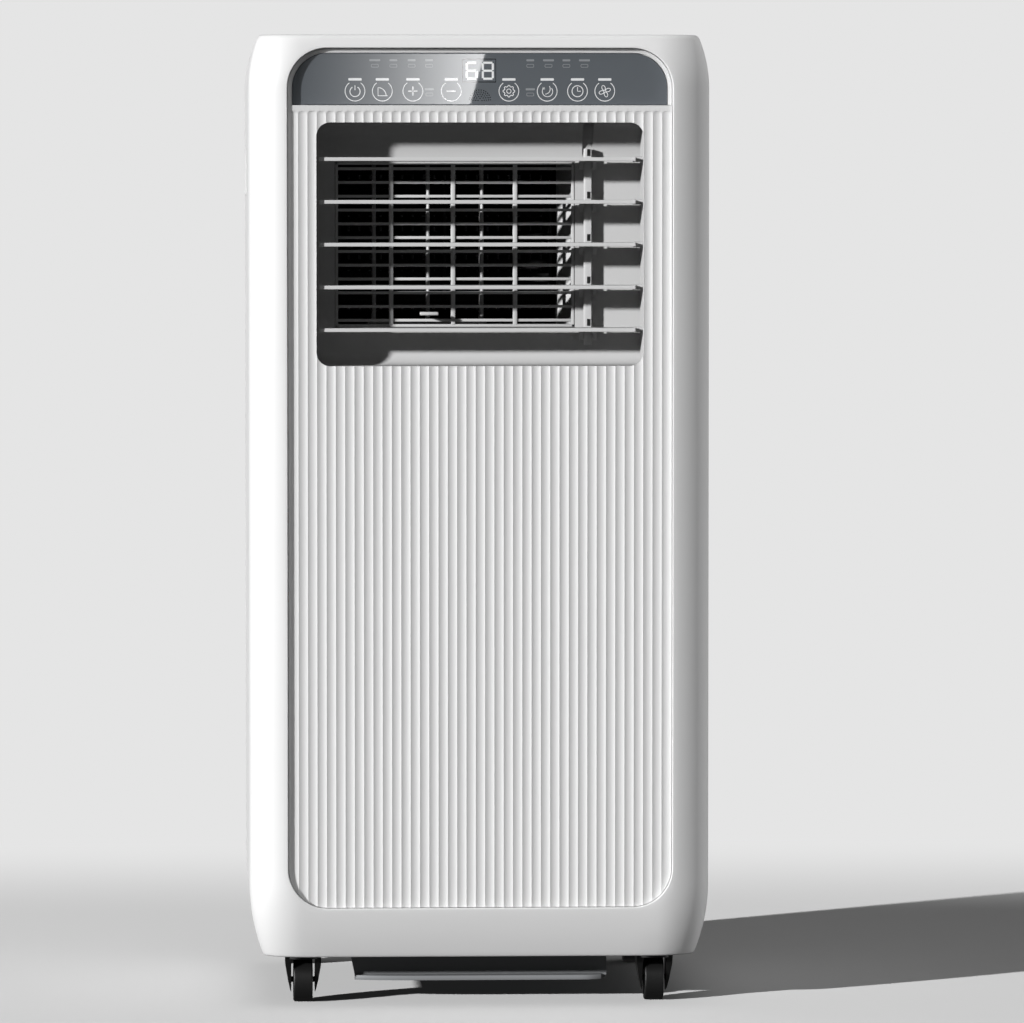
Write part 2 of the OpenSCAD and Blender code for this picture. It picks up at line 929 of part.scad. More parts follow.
module compressor_grommets() {
  color("dimgray")
    for (a = foot_angles)
      translate([comp_x, comp_y, 0])
        rotate(a)
          translate([foot_reach, 0, pan_z + 3])
            cylinder(h = comp_z0 - pan_z - 3, r = foot_r - 1);
}

module accumulator() {
  color("black") {
    translate([accu[0], accu[1], accu_z[0]])
      cylinder(h = accu_z[1] - accu_z[0], r = accu_r);
    for (z = accu_z)
      translate([accu[0], accu[1], z])
        sphere(accu_r);
  }
}

module refrigerant_tubes() {
  r = 4;
  y_coil = 106;
  liquid_x = 148;
  low_z = 86;
  dome = comp_z1 - dome_sink + dome_r;
  color("peru") {
    // discharge line, compressor dome to the condenser's first tube
    pipe_run([[comp_x, comp_y, dome], [comp_x, comp_y, 330], [comp_x, 60, 330], [-140, 60, 330],
              [-140, y_coil, 330], [-140, y_coil, 270], [-126.2, y_coil, 270]], r);
    // suction line, evaporator to the top of the accumulator
    pipe_run([[-124.2, y_coil, 475], [-136, y_coil, 475], [-136, -100, 475], [-136, -100, 400],
              [accu[0], -100, 400], [accu[0], accu[1], 400], [accu[0], accu[1], accu_z[1] + accu_r]], r);
    // suction line, foot of the accumulator to the compressor's side
    pipe_run([[accu[0], accu[1], accu_z[0] - accu_r], [accu[0], accu[1], low_z],
              [accu[0], comp_y, low_z], [comp_x + comp_r, comp_y, low_z]], r);
    // liquid line with its strainer, condenser to the evaporator
    pipe_run([[126.2, y_coil, 90], [liquid_x, y_coil, 90], [liquid_x, y_coil, 480],
              [124.2, y_coil, 480]], 3);
    translate([liquid_x, y_coil, 300])
      cylinder(h = 60, r = 8);
  }
}

module control_box() {
  color("gainsboro")
    difference() {
      block([119, -88, 470], [152, 20, 612]);
      block([121, -86, 472], [150, 18, 610]);
      block([126, 10, 482], [144, 22, 492]);
    }
}

module run_capacitor() {
  color("gainsboro") {
    translate([capacitor[0], capacitor[1], pan_z + 3])
      cylinder(h = 82, r = 21);
    for (x = [capacitor[0] - 7, capacitor[0] + 7])
      block([x - 1, capacitor[1] - 4, pan_z + 84], [x + 1, capacitor[1] + 4, pan_z + 94]);
  }
}

// ---------- base ----------

module base_pan() {
  rib_pitch = 21.3;
  skin = 2.5;
  slope = 4;
  color("gainsboro") {
    difference() {
      union() {
        translate([0, 0, pan_z])
          linear_extrude(3)
            rounded_plan(pan_w, pan_d, 20);
        translate([0, 0, pan_z])
          linear_extrude(26)
            difference() {
              rounded_plan(pan_w, pan_d, 20);
              rounded_plan(pan_w - 2 * skin, pan_d - 2 * skin, 20 - skin);
            }
        stand(tray_y0, tray_y1)
          polygon([[-tray_w / 2, pan_z + 1], [tray_w / 2, pan_z + 1],
                   [tray_w / 2, tray_z], [-tray_w / 2 + slope, tray_z]]);
        block([-tray_w / 2 + slope, tray_y0 - 1.5, tray_z], [tray_w / 2, tray_y0 + 1, tray_z + 3.5]);
        for (i = [-3 : 3])
          block([i * rib_pitch + 6 - 0.8, tray_y0 - 1.5, tray_z + 2],
                [i * rib_pitch + 6 + 0.8, tray_y0 + 1, pan_z + 1]);
        rod_y(plug_lower[0], plug_lower[1], plug_bore_r + 3, pan_d / 2 - 3, 146);
      }
      block([-tray_w / 2 + slope + skin, tray_y0 + skin, tray_z + skin],
            [tray_w / 2 - skin, tray_y1 - skin, pan_z + 3 + eps]);
      rod_y(plug_lower[0], plug_lower[1], plug_bore_r, pan_d / 2 - 8, 146 + eps);
      for (sx = [-1, 1])
        for (sy = [-1, 1])
          translate([sx * caster_x, sy * caster_y, pan_z - eps])
            cylinder(h = 6, r = 9.3);
    }
    // posts under the two compressor feet that stand over the tray
    translate([comp_x, comp_y, 0])
      for (post = [[foot_angles[0], pan_z], [foot_angles[2], tray_z]])
        rotate(post[0])
          translate([foot_reach, 0, post[1]])
            cylinder(h = pan_z + 3 - post[1], r = foot_r + 1);
    // stands under the condenser
    for (x = [-100, 100])
      block([x - 6, 91, pan_z + 2], [x + 6, 121, condenser_z0]);
  }
}

module splash_motor() {
  color("silver")
    difference() {
      union() {
        rod_y(-100, 100, 16, 24, 50);
        block([-104, 28, 41], [-96, 46, 90]);
      }
      rod_y(-100, 100, 2 + run_gap, 40, 50 + eps);
    }
}

module splash_wheel() {
  color("white") {
    rod_y(-100, 100, 26, 54, 56);
    rod_y(-100, 100, 2, 42, 60);
    rod_y(-100, 100, 6, 52, 60);
    for (i = [0 : 11])
      translate([-100, 0, 100])
        rotate([0, i * 30, 0])
          block([-0.8, 52, 18], [0.8, 58, 30]);
  }
}

module float_switch() {
  color("whitesmoke") {
    translate([124, -20, pan_z + 3])
      cylinder(h = 46, r = 3);
    translate([124, -20, pan_z + 12])
      cylinder(h = 14, r = 10);
    block([114, -26, pan_z + 46], [134, -14, pan_z + 54]);
  }
}

module cord_gland() {
  back_y = body_d / 2;
  color("dimgray")
    difference() {
      union() {
        rod_y(gland_pos[0], gland_pos[1], gland_r - 0.2, back_y - 12, back_y - 0.5);
        rod_y(gland_pos[0], gland_pos[1], gland_r + 3, back_y - wall - 3, back_y - wall);
      }
      rod_y(gland_pos[0], gland_pos[1], 4, back_y - 13, back_y + eps);
    }
}

// Soft plug that closes a drain spout
module drain_plug(place) {
  rod_y(place[0], place[1], plug_bore_r - 0.05, 134, 146.5);
  rod_y(place[0], place[1], plug_bore_r + 2.6, 146.2, 149.4);
}

module drain_plug_upper() {
  color("dimgray")
    drain_plug(plug_upper);
}

module drain_plug_lower() {
  color("dimgray")
    drain_plug(plug_lower);
}

// ---------- air intakes ----------

// Barred frame that fills a rear window
module intake_frame(window) {
  back_y = body_d / 2;
  gap = 0.5;
  w = intake_w - 2 * gap;
  z0 = window[0] + gap;
  z1 = window[1] - gap;
  rim = 9;
  bars = floor((z1 - z0 - 2 * rim) / 9);
  pitch = (z1 - z0 - 2 * rim) / (bars + 1);
  difference() {
    stand(back_y - 5, back_y)
      rounded_front(w, z0, z1, intake_r - gap);
    stand(back_y - 5 - eps, back_y + eps)
      rounded_front(w - 2 * rim, z0 + rim, z1 - rim, 4);
    rod_y(0, z1 - 4.5, 2.5, back_y - 2, back_y + eps);
  }
  for (i = [1 : bars])
    block([-w / 2 + rim - 1, back_y - 4.5, z0 + rim + i * pitch - 1.4],
          [w / 2 - rim + 1, back_y - 0.6, z0 + rim + i * pitch + 1.4]);
  for (x = [-w / 6, w / 6])
    block([x - 1.5, back_y - 4.8, z0 + rim - 1], [x + 1.5, back_y - 1, z1 - rim + 1]);
}

// Fine net in its own rim, behind an intake frame
module filter_mesh(window) {
  y0 = body_d / 2 - 8;
  block([-intake_w / 2 + 4, y0 + 0.9, window[0] + 4], [intake_w / 2 - 4, y0 + 1.7, window[1] - 4]);
  difference() {
    block([-intake_w / 2 + 4, y0, window[0] + 4], [intake_w / 2 - 4, y0 + 2.7, window[1] - 4]);
    block([-intake_w / 2 + 9, y0 - eps, window[0] + 9], [intake_w / 2 - 9, y0 + 4, window[1] - 9]);
  }
}

module upper_intake_frame() {
  color("white")
    intake_frame(upper_intake);
}

module lower_intake_frame() {
  color("white")
    intake_frame(lower_intake);
}

module upper_filter_mesh() {
  color("dimgray")
    filter_mesh(upper_intake);
}

module lower_filter_mesh() {
  color("dimgray")
    filter_mesh(lower_intake);
}

// ---------- casters ----------

module caster_sockets() {
  color("black")
    for (sx = [-1, 1])
      for (sy = [-1, 1])
        translate([sx * caster_x, sy * caster_y, 0])
          difference() {
            union() {
              translate([-16, -16, socket_z])
                cube([32, 32, pan_z - socket_z]);
              translate([0, 0, socket_z])
                cylinder(h = 28, r = 9);
            }
            translate([0, 0, socket_z - eps])
              cylinder(h = 27, r = stem_r + run_gap);
          }
}

// Fork with its stem and axle; sx and sy choose the corner
module caster_fork(sx, sy) {
  wheel_y = caster_trail;
  translate([sx * caster_x, sy * caster_y, 0]) {
    color("black") {
      translate([0, 0, fork_top - 1])
        cylinder(h = 25, r = stem_r);
      intersection() {
        translate([0, 2, fork_top - fork_plate])
          cylinder(h = fork_plate, r = 14);
        block([-cheek_out, -20, fork_top - 5], [cheek_out, 20, fork_top]);
      }
      for (s = [-1, 1])
        intersection() {
          across(-15, 15) {
            translate([wheel_y, wheel_r])
              circle(9.5);
            polygon([[-9, fork_top - 1], [15, fork_top - 1], [wheel_y + 9, wheel_r + 3],
                     [wheel_y - 9, wheel_r - 3]]);
          }
          stand(-30, 30)
            polygon([[s * cheek_in, fork_top - 1], [s * cheek_out, fork_top - 1],
                     [s * (cheek_out - 0.2), 27], [s * (cheek_out - 1.8), 17],
                     [s * (cheek_in + 0.8), 9], [s * cheek_in, 7]]);
        }
    }
    color("silver")
      rod_x(wheel_y, wheel_r, axle_r, -cheek_in - 2, cheek_in + 2);
  }
}

module caster_wheel(sx, sy) {
  tread = 1.2;
  translate([sx * caster_x, sy * caster_y + caster_trail, wheel_r])
    rotate([0, 90, 0])
      color("black")
        rotate_extrude()
          difference() {
            union() {
              translate([axle_r + 0.05, -wheel_w / 2])
                square([wheel_r - tread - axle_r - 0.05, wheel_w]);
              translate([axle_r + 0.05, -wheel_w / 2 + tread])
                square([wheel_r - axle_r - 0.05, wheel_w - 2 * tread]);
              for (s = [-1, 1])
                translate([wheel_r - tread, s * (wheel_w / 2 - tread)])
                  circle(tread);
            }
            for (s = [-1, 1])
              translate([6, s > 0 ? wheel_w / 2 - 2 : -wheel_w / 2 - eps])
                square([6, 2 + eps]);
          }
}

front_shell();
rear_cover();
top_cover();
fluted_panel();
control_bezel();
control_glass();
control_board();
display_module();
vent_duct();
vent_grille();
swing_motor();
louvre(1);  // louvre_1
louvre(2);  // louvre_2
louvre(3);  // louvre_3
louvre(4);  // louvre_4
louvre(5);  // louvre_5
louvre_link();
vane(1);  // vane_1
vane(2);  // vane_2
vane(3);  // vane_3
vane_link();
blower_housing();
blower_wheel();
blower_motor();
evaporator_coil();
divider_tray();
condenser_coil();
exhaust_fan_housing();
exhaust_fan_wheel();
exhaust_fan_motor();
exhaust_collar();
compressor();
compressor_grommets();
accumulator();
refrigerant_tubes();
control_box();
run_capacitor();
base_pan();
splash_motor();
splash_wheel();
float_switch();
handle_left();
handle_right();
cord_gland();
drain_plug_upper();
drain_plug_lower();
upper_intake_frame();
upper_filter_mesh();
lower_intake_frame();
lower_filter_mesh();
cover_screws();
caster_sockets();
caster_fork(-1, -1);  // caster_fork_front_left
caster_fork(1, -1);  // caster_fork_front_right
caster_fork(-1, 1);  // caster_fork_rear_left
caster_fork(1, 1);  // caster_fork_rear_right
caster_wheel(-1, -1);  // caster_wheel_front_left
caster_wheel(1, -1);  // caster_wheel_front_right
caster_wheel(-1, 1);  // caster_wheel_rear_left
caster_wheel(1, 1);  // caster_wheel_rear_right
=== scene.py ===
import json
import math

import bmesh
import bpy
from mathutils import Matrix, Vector


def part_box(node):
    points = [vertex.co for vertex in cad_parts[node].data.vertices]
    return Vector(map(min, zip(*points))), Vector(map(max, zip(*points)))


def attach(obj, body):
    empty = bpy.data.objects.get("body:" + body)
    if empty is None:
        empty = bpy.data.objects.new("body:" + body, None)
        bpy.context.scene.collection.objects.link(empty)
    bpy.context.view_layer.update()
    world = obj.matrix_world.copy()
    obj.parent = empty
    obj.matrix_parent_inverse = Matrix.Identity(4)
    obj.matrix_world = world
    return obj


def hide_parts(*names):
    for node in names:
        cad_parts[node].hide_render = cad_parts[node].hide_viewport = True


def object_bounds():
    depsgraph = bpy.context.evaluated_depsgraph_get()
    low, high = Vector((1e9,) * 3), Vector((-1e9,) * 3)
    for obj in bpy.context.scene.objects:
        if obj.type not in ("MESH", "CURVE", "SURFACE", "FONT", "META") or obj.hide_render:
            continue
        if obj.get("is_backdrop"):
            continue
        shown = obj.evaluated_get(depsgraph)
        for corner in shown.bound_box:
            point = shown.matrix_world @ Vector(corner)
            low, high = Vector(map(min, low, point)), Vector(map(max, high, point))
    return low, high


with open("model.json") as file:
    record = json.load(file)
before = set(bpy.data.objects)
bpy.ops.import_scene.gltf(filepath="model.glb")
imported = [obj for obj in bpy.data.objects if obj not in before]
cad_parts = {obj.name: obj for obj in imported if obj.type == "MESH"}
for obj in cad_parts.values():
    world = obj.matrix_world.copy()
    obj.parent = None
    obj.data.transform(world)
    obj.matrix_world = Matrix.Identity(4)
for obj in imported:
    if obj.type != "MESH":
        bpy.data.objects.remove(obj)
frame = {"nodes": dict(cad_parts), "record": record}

MM = 0.001
bounds_at_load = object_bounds()
scene = bpy.context.scene
scene.view_settings.view_transform = "Standard"

# ---------- camera: a long lens, a little left of the middle and just under the top ----------

CAMERA_DISTANCE = 4.998
CAMERA_HEIGHT = 0.579
CAMERA_SIDE_DEG = 2.37
LOOK_DOWN_DEG = 2.77
LOOK_RIGHT_DEG = 2.70
LENS_MM = 246.6

camera_data = bpy.data.cameras.new("camera")
camera_data.lens = LENS_MM
camera_data.sensor_width = 36.0
camera_data.clip_end = 60.0
camera = bpy.data.objects.new("camera", camera_data)
side = math.radians(CAMERA_SIDE_DEG)
camera.location = (-CAMERA_DISTANCE * math.sin(side), -CAMERA_DISTANCE * math.cos(side), CAMERA_HEIGHT)
camera.rotation_euler = (math.radians(90 - LOOK_DOWN_DEG), 0, -math.radians(LOOK_RIGHT_DEG))
scene.collection.objects.link(camera)
scene.camera = camera

# ---------- materials ----------


def add_node(mat, kind, **values):
    """Adds a shader node and sets its inputs; an underscore in a keyword stands for a space."""
    node = mat.node_tree.nodes.new("ShaderNode" + kind)
    for key, value in values.items():
        node.inputs[key.replace("_", " ")].default_value = value
    return node


def material(name, colour, roughness, metallic=0.0, coat=0.0, mottle=0.02, grain=0.0, grain_scale=900.0,
             streak=None, specular=0.5):
    """A finish whose tone and gloss wander a little, with an optional moulded grain or a brushed streak."""
    mat = bpy.data.materials.new(name)
    mat.use_nodes = True
    nodes, links = mat.node_tree.nodes, mat.node_tree.links
    shader = nodes["Principled BSDF"]
    shader.inputs["Metallic"].default_value = metallic
    shader.inputs["Coat Weight"].default_value = coat
    shader.inputs["Specular IOR Level"].default_value = specular
    coords = add_node(mat, "TexCoord")
    mapping = add_node(mat, "Mapping", Scale=streak or (1, 1, 1))
    links.new(coords.outputs["Object"], mapping.inputs["Vector"])
    broad = add_node(mat, "TexNoise", Scale=14.0, Detail=3.0)
    links.new(mapping.outputs["Vector"], broad.inputs["Vector"])
    tone = nodes.new("ShaderNodeMix")
    tone.data_type = "RGBA"
    tone.inputs["A"].default_value = (*[c * (1 - mottle) for c in colour], 1)
    tone.inputs["B"].default_value = (*[min(1, c * (1 + mottle)) for c in colour], 1)
    links.new(broad.outputs["Fac"], tone.inputs["Factor"])
    links.new(tone.outputs["Result"], shader.inputs["Base Color"])
    gloss = add_node(mat, "MapRange", To_Min=roughness * 0.9, To_Max=roughness * 1.1)
    links.new(broad.outputs["Fac"], gloss.inputs["Value"])
    links.new(gloss.outputs["Result"], shader.inputs["Roughness"])
    if grain:
        fine = add_node(mat, "TexNoise", Scale=grain_scale, Detail=2.0)
        links.new(mapping.outputs["Vector"], fine.inputs["Vector"])
        bump = add_node(mat, "Bump", Strength=grain, Distance=0.0002)
        links.new(fine.outputs["Fac"], bump.inputs["Height"])
        links.new(bump.outputs["Normal"], shader.inputs["Normal"])
    return mat


FINISHES = {name: material(name, colour, roughness, **detail) for name, colour, roughness, detail in (
    ("shell_white", (0.80, 0.80, 0.80), 0.42, dict(mottle=0.006, grain=0.02)),
    ("panel_white", (0.80, 0.80, 0.80), 0.50, dict(mottle=0.006, grain=0.02)),
    ("outlet_white", (0.78, 0.78, 0.78), 0.45, dict(mottle=0.01, grain=0.02)),
    ("control_glass", (0.125, 0.138, 0.152), 0.015, dict(mottle=0.01)),
    ("display_black", (0.03, 0.033, 0.037), 0.25, {}),
    ("board_green", (0.03, 0.16, 0.07), 0.4, dict(mottle=0.1)),
    ("inner_grey", (0.30, 0.31, 0.32), 0.5, dict(grain=0.05)),
    ("rotor_grey", (0.02, 0.02, 0.021), 0.6, dict(grain=0.05)),
    ("motor_steel", (0.55, 0.56, 0.57), 0.35, dict(metallic=1, streak=(40, 1, 1))),
    ("coil_aluminium", (0.72, 0.73, 0.75), 0.4, dict(metallic=1, streak=(1, 1, 30))),
    ("copper_tube", (0.72, 0.36, 0.20), 0.3, dict(metallic=1, mottle=0.1)),
    ("compressor_black", (0.02, 0.02, 0.02), 0.3, dict(grain=0.05)),
    ("capacitor_can", (0.70, 0.70, 0.72), 0.3, dict(metallic=1, streak=(1, 1, 20))),
    ("soft_rubber", (0.05, 0.05, 0.05), 0.7, dict(grain=0.1)),
    ("filter_net", (0.10, 0.11, 0.12), 0.8, dict(grain=0.6, grain_scale=1500.0)),
    ("screw_steel", (0.50, 0.50, 0.52), 0.35, dict(metallic=1, streak=(1, 60, 1))),
    ("caster_black", (0.012, 0.012, 0.012), 0.35, dict(grain=0.03)),
    ("caster_tread", (0.012, 0.012, 0.012), 0.45, dict(grain=0.05)),
)}
PRINT = material("panel_print", (0.86, 0.87, 0.88), 0.015)
PRINT_FAINT = material("panel_print_faint", (0.30, 0.315, 0.33), 0.015)
PRINT_DARK = material("panel_print_dark", (0.012, 0.013, 0.014), 0.015)
DIGIT = material("panel_digit", (0.95, 0.96, 0.97), 0.015)

for part in frame["record"]["subparts"]:
    node = frame["nodes"][part["node"]]
    for holder in node.material_slots:
        holder.link = "OBJECT"
        holder.material = FINISHES[part["material_slot"]]

# ---------- mesh helpers ----------


def finish_mesh(obj, body, slot, replaces=(), sharp_deg=32, finish=None):
    """Shades a piece smooth up to an angle, gives it its finish and lets it ride on its body."""
    mesh = obj.data
    mesh.materials.clear()
    mesh.materials.append(finish or FINISHES[slot])
    mesh.shade_smooth()
    mesh.set_sharp_from_angle(angle=math.radians(sharp_deg))
    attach(obj, body)
    if replaces:
        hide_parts(*replaces)
    return obj


def from_bmesh(name, bm):
    bmesh.ops.remove_doubles(bm, verts=bm.verts, dist=2e-6)
    bmesh.ops.recalc_face_normals(bm, faces=bm.faces)
    mesh = bpy.data.meshes.new(name)
    bm.to_mesh(mesh)
    bm.free()
    obj = bpy.data.objects.new(name, mesh)
    scene.collection.objects.link(obj)
    return obj


def bake(obj):
    """Replaces a piece's mesh with what its modifiers make of it."""
    bpy.context.view_layer.update()
    graph = bpy.context.evaluated_depsgraph_get()
    mesh = bpy.data.meshes.new_from_object(obj.evaluated_get(graph))
    obj.modifiers.clear()
    obj.data = mesh


def thicken(obj, amount, offset=-1.0):
    modifier = obj.modifiers.new("wall", "SOLIDIFY")
    modifier.thickness = amount
    modifier.offset = offset
    modifier.use_even_offset = True
    bake(obj)


def cut(obj, cutters, operation="DIFFERENCE"):
    for cutter in cutters:
        modifier = obj.modifiers.new("cut", "BOOLEAN")
        modifier.operation = operation
        modifier.solver = "EXACT"
        modifier.object = cutter
        bake(obj)
        bpy.data.objects.remove(cutter)


def loft(bm, loops, close=True, cap_start=False, cap_end=False):
    """Joins rings of points with quads; close wraps each ring round on itself."""
    rings = [[bm.verts.new(p) for p in loop] for loop in loops]
    count = len(rings[0])
    for a, b in zip(rings, rings[1:]):
        for i in range(count if close else count - 1):
            j = (i + 1) % count
            bm.faces.new((a[i], a[j], b[j], b[i]))
    if cap_start:
        bm.faces.new(rings[0])
    if cap_end:
        bm.faces.new(rings[-1])
    return rings


def rounded_rect(cx, cz, w, h, r, steps=10):
    """Outline points of a rectangle with round corners, as pairs."""
    pts = []
    for sx, sz, start in ((1, 1, 0), (-1, 1, 90), (-1, -1, 180), (1, -1, 270)):
        for k in range(steps + 1):
            a = math.radians(start + 90 * k / steps)
            pts.append((cx + sx * (w / 2 - r) + r * math.cos(a), cz + sz * (h / 2 - r) + r * math.sin(a)))
    return pts


def slab_y(bm, outline, y0, y1, fillet, steps=3):
    """A plate with the xz outline function outline(grow), from y0 (front) to y1, its edges rounded."""
    loops = []
    for k in range(steps + 1):
        a = math.radians(90 * k / steps)
        y, inset = y0 + fillet * (1 - math.sin(a)), fillet * (1 - math.cos(a))
        loops.append([(x, y, z) for x, z in outline(-inset)])
    loops = loops[::-1]
    back = [[(x, y0 + y1 - y, z) for x, y, z in loop] for loop in loops[::-1]]
    loft(bm, loops + back, cap_start=True, cap_end=True)


def box_mesh(bm, a, b, bevel=0.0, segments=2):
    """A block between two corners with rounded edges."""
    part = bmesh.new()
    bmesh.ops.create_cube(part, size=1.0)
    for v in part.verts:
        v.co = Vector([(a[i] + b[i]) / 2 + v.co[i] * (b[i] - a[i]) for i in range(3)])
    if bevel:
        bmesh.ops.bevel(part, geom=list(part.edges), offset=bevel, segments=segments, profile=0.5,
                        affect="EDGES")
    mesh = bpy.data.meshes.new("part")
    part.to_mesh(mesh)
    part.free()
    bm.from_mesh(mesh)
    bpy.data.meshes.remove(mesh)


def prism_y(name, outline, y0, y1):
    bm = bmesh.new()
    loft(bm, [[(x, y0, z) for x, z in outline], [(x, y1, z) for x, z in outline]], cap_start=True,
         cap_end=True)
    return from_bmesh(name, bm)


def circle(cx, cz, r, steps=48):
    return [(cx + r * math.cos(2 * math.pi * k / steps), cz + r * math.sin(2 * math.pi * k / steps))
            for k in range(steps)]


# ---------- cabinet skin ----------

shell_low, shell_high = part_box("front_shell")
_, rear_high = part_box("rear_cover")
HALF_W, HALF_D = shell_high.x, rear_high.y
Z_TOP, Z_FOOT = shell_high.z, shell_low.z
Z_EDGE_TOP, Z_EDGE_FOOT = Z_TOP - 3 * MM, Z_FOOT + 1.5 * MM
CORNER_X, CORNER_Y = 36 * MM, 25 * MM
TOP_R, TOP_START = 94 * MM, Z_TOP - 37 * MM
FOOT_R, FOOT_START = 134 * MM, Z_FOOT + 50 * MM
WALL = 3 * MM
panel_low, panel_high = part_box("fluted_panel")
WELL_W = panel_high.x - panel_low.x + 0.8 * MM
WELL_BOTTOM = panel_low.z - 0.4 * MM
WELL_TOP = Z_TOP - 9.4 * MM
WELL_R = 27.7 * MM
WELL_BACK = -HALF_D + 14 * MM
WELL_RIM = 0.8 * MM
ROOF_W, ROOF_D, ROOF_R = 276 * MM, 256 * MM, 18 * MM
SEAM = 0.3 * MM
S_LEFT, S_RIGHT = 1.0, 4.0  # where the straight sides end on the outline that ring_point walks


def spread(a, b, n):
    """n + 1 evenly spaced values from a to b."""
    return [a + (b - a) * k / n for k in range(n + 1)]


def draw_in(z):
    """How far the skin is drawn in at a height, by the curves at the top and foot."""
    if z > TOP_START:
        return TOP_R - math.sqrt(TOP_R ** 2 - (z - TOP_START) ** 2)
    if z < FOOT_START:
        return FOOT_R - math.sqrt(FOOT_R ** 2 - (FOOT_START - z) ** 2)
    return 0.0


def ring_point(s, half_x, half_y, rx, ry, back, y_start):
    """Point s of a half plan: 0-1 left side, 1-2 corner, 2-3 face, 3-4 corner, 4-5 right side."""
    seg = min(int(s), 4)
    t = s - seg
    if seg == 0:
        x, y = -half_x, y_start + t * (half_y - ry - y_start)
    elif seg == 1:
        a = t * math.pi / 2
        x, y = -(half_x - rx) - rx * math.cos(a), half_y - ry + ry * math.sin(a)
    elif seg == 2:
        x, y = (2 * t - 1) * (half_x - rx), half_y
    elif seg == 3:
        a = t * math.pi / 2
        x, y = half_x - rx + rx * math.sin(a), half_y - ry + ry * math.cos(a)
    else:
        x, y = half_x, half_y - ry - t * (half_y - ry - y_start)
    return (x, y) if back else (x, -y)


def skin(s, z, back, y_start, inset=None):
    """The skin's point at outline coordinate s and height z, on the back or the front half."""
    d = draw_in(z) if inset is None else inset
    x, y = ring_point(s, HALF_W - d, HALF_D - d, CORNER_X - d / 2, CORNER_Y - d / 2, back, y_start)
    return (x, y, z)


def skin_s(x, z):
    """The outline coordinate s at which the front skin has this x."""
    d = draw_in(z)
    flat = HALF_W - d - (CORNER_X - d / 2)
    if abs(x) <= flat:
        return 2.5 + x / flat / 2
    a = math.asin(min(1.0, (abs(x) - flat) / (CORNER_X - d / 2))) / (math.pi / 2)
    return 3 + a if x > 0 else 2 - a


def edge_rings(p0, p1, p2, steps, s_values, back, y_start):
    """Rings along a soft edge whose (inset, height) goes from p0 to p2, pulled towards p1."""
    rings = []
    for k in range(steps + 1):
        t = k / steps
        inset, z = [(1 - t) ** 2 * p0[i] + 2 * t * (1 - t) * p1[i] + t * t * p2[i] for i in (0, 1)]
        rings.append([skin(s, z, back, y_start, inset) for s in s_values])
    return rings


def top_rim(bm, s_values, back, y_start):
    """The rounded top edge and the roof ring inside it, along a half outline."""
    inset = draw_in(Z_TOP)
    rings = edge_rings((draw_in(Z_EDGE_TOP), Z_EDGE_TOP), (inset, Z_TOP), (inset + 3 * MM, Z_TOP), 6,
                       s_values, back, y_start)
    edge = rings[-1]
    hole = [ring_point(s, ROOF_W / 2, ROOF_D / 2, ROOF_R, ROOF_R, back, y_start) for s in s_values]
    for t, drop in ((0.5, 0), (0.94, 0), (0.985, 0.15), (1.0, 0.6)):
        rings.append([(a[0] + (h[0] - a[0]) * t, a[1] + (h[1] - a[1]) * t, Z_TOP - drop * MM)
                      for a, h in zip(edge, hole)])
    loft(bm, rings, close=False)


def foot_rim(bm, s_values, back, y_start):
    """The rounded lower edge along a half outline."""
    inset = draw_in(Z_FOOT)
    loft(bm, edge_rings((draw_in(Z_EDGE_FOOT), Z_EDGE_FOOT), (inset, Z_FOOT), (inset + 1.2 * MM, Z_FOOT),
                        4, s_values, back, y_start), close=False)


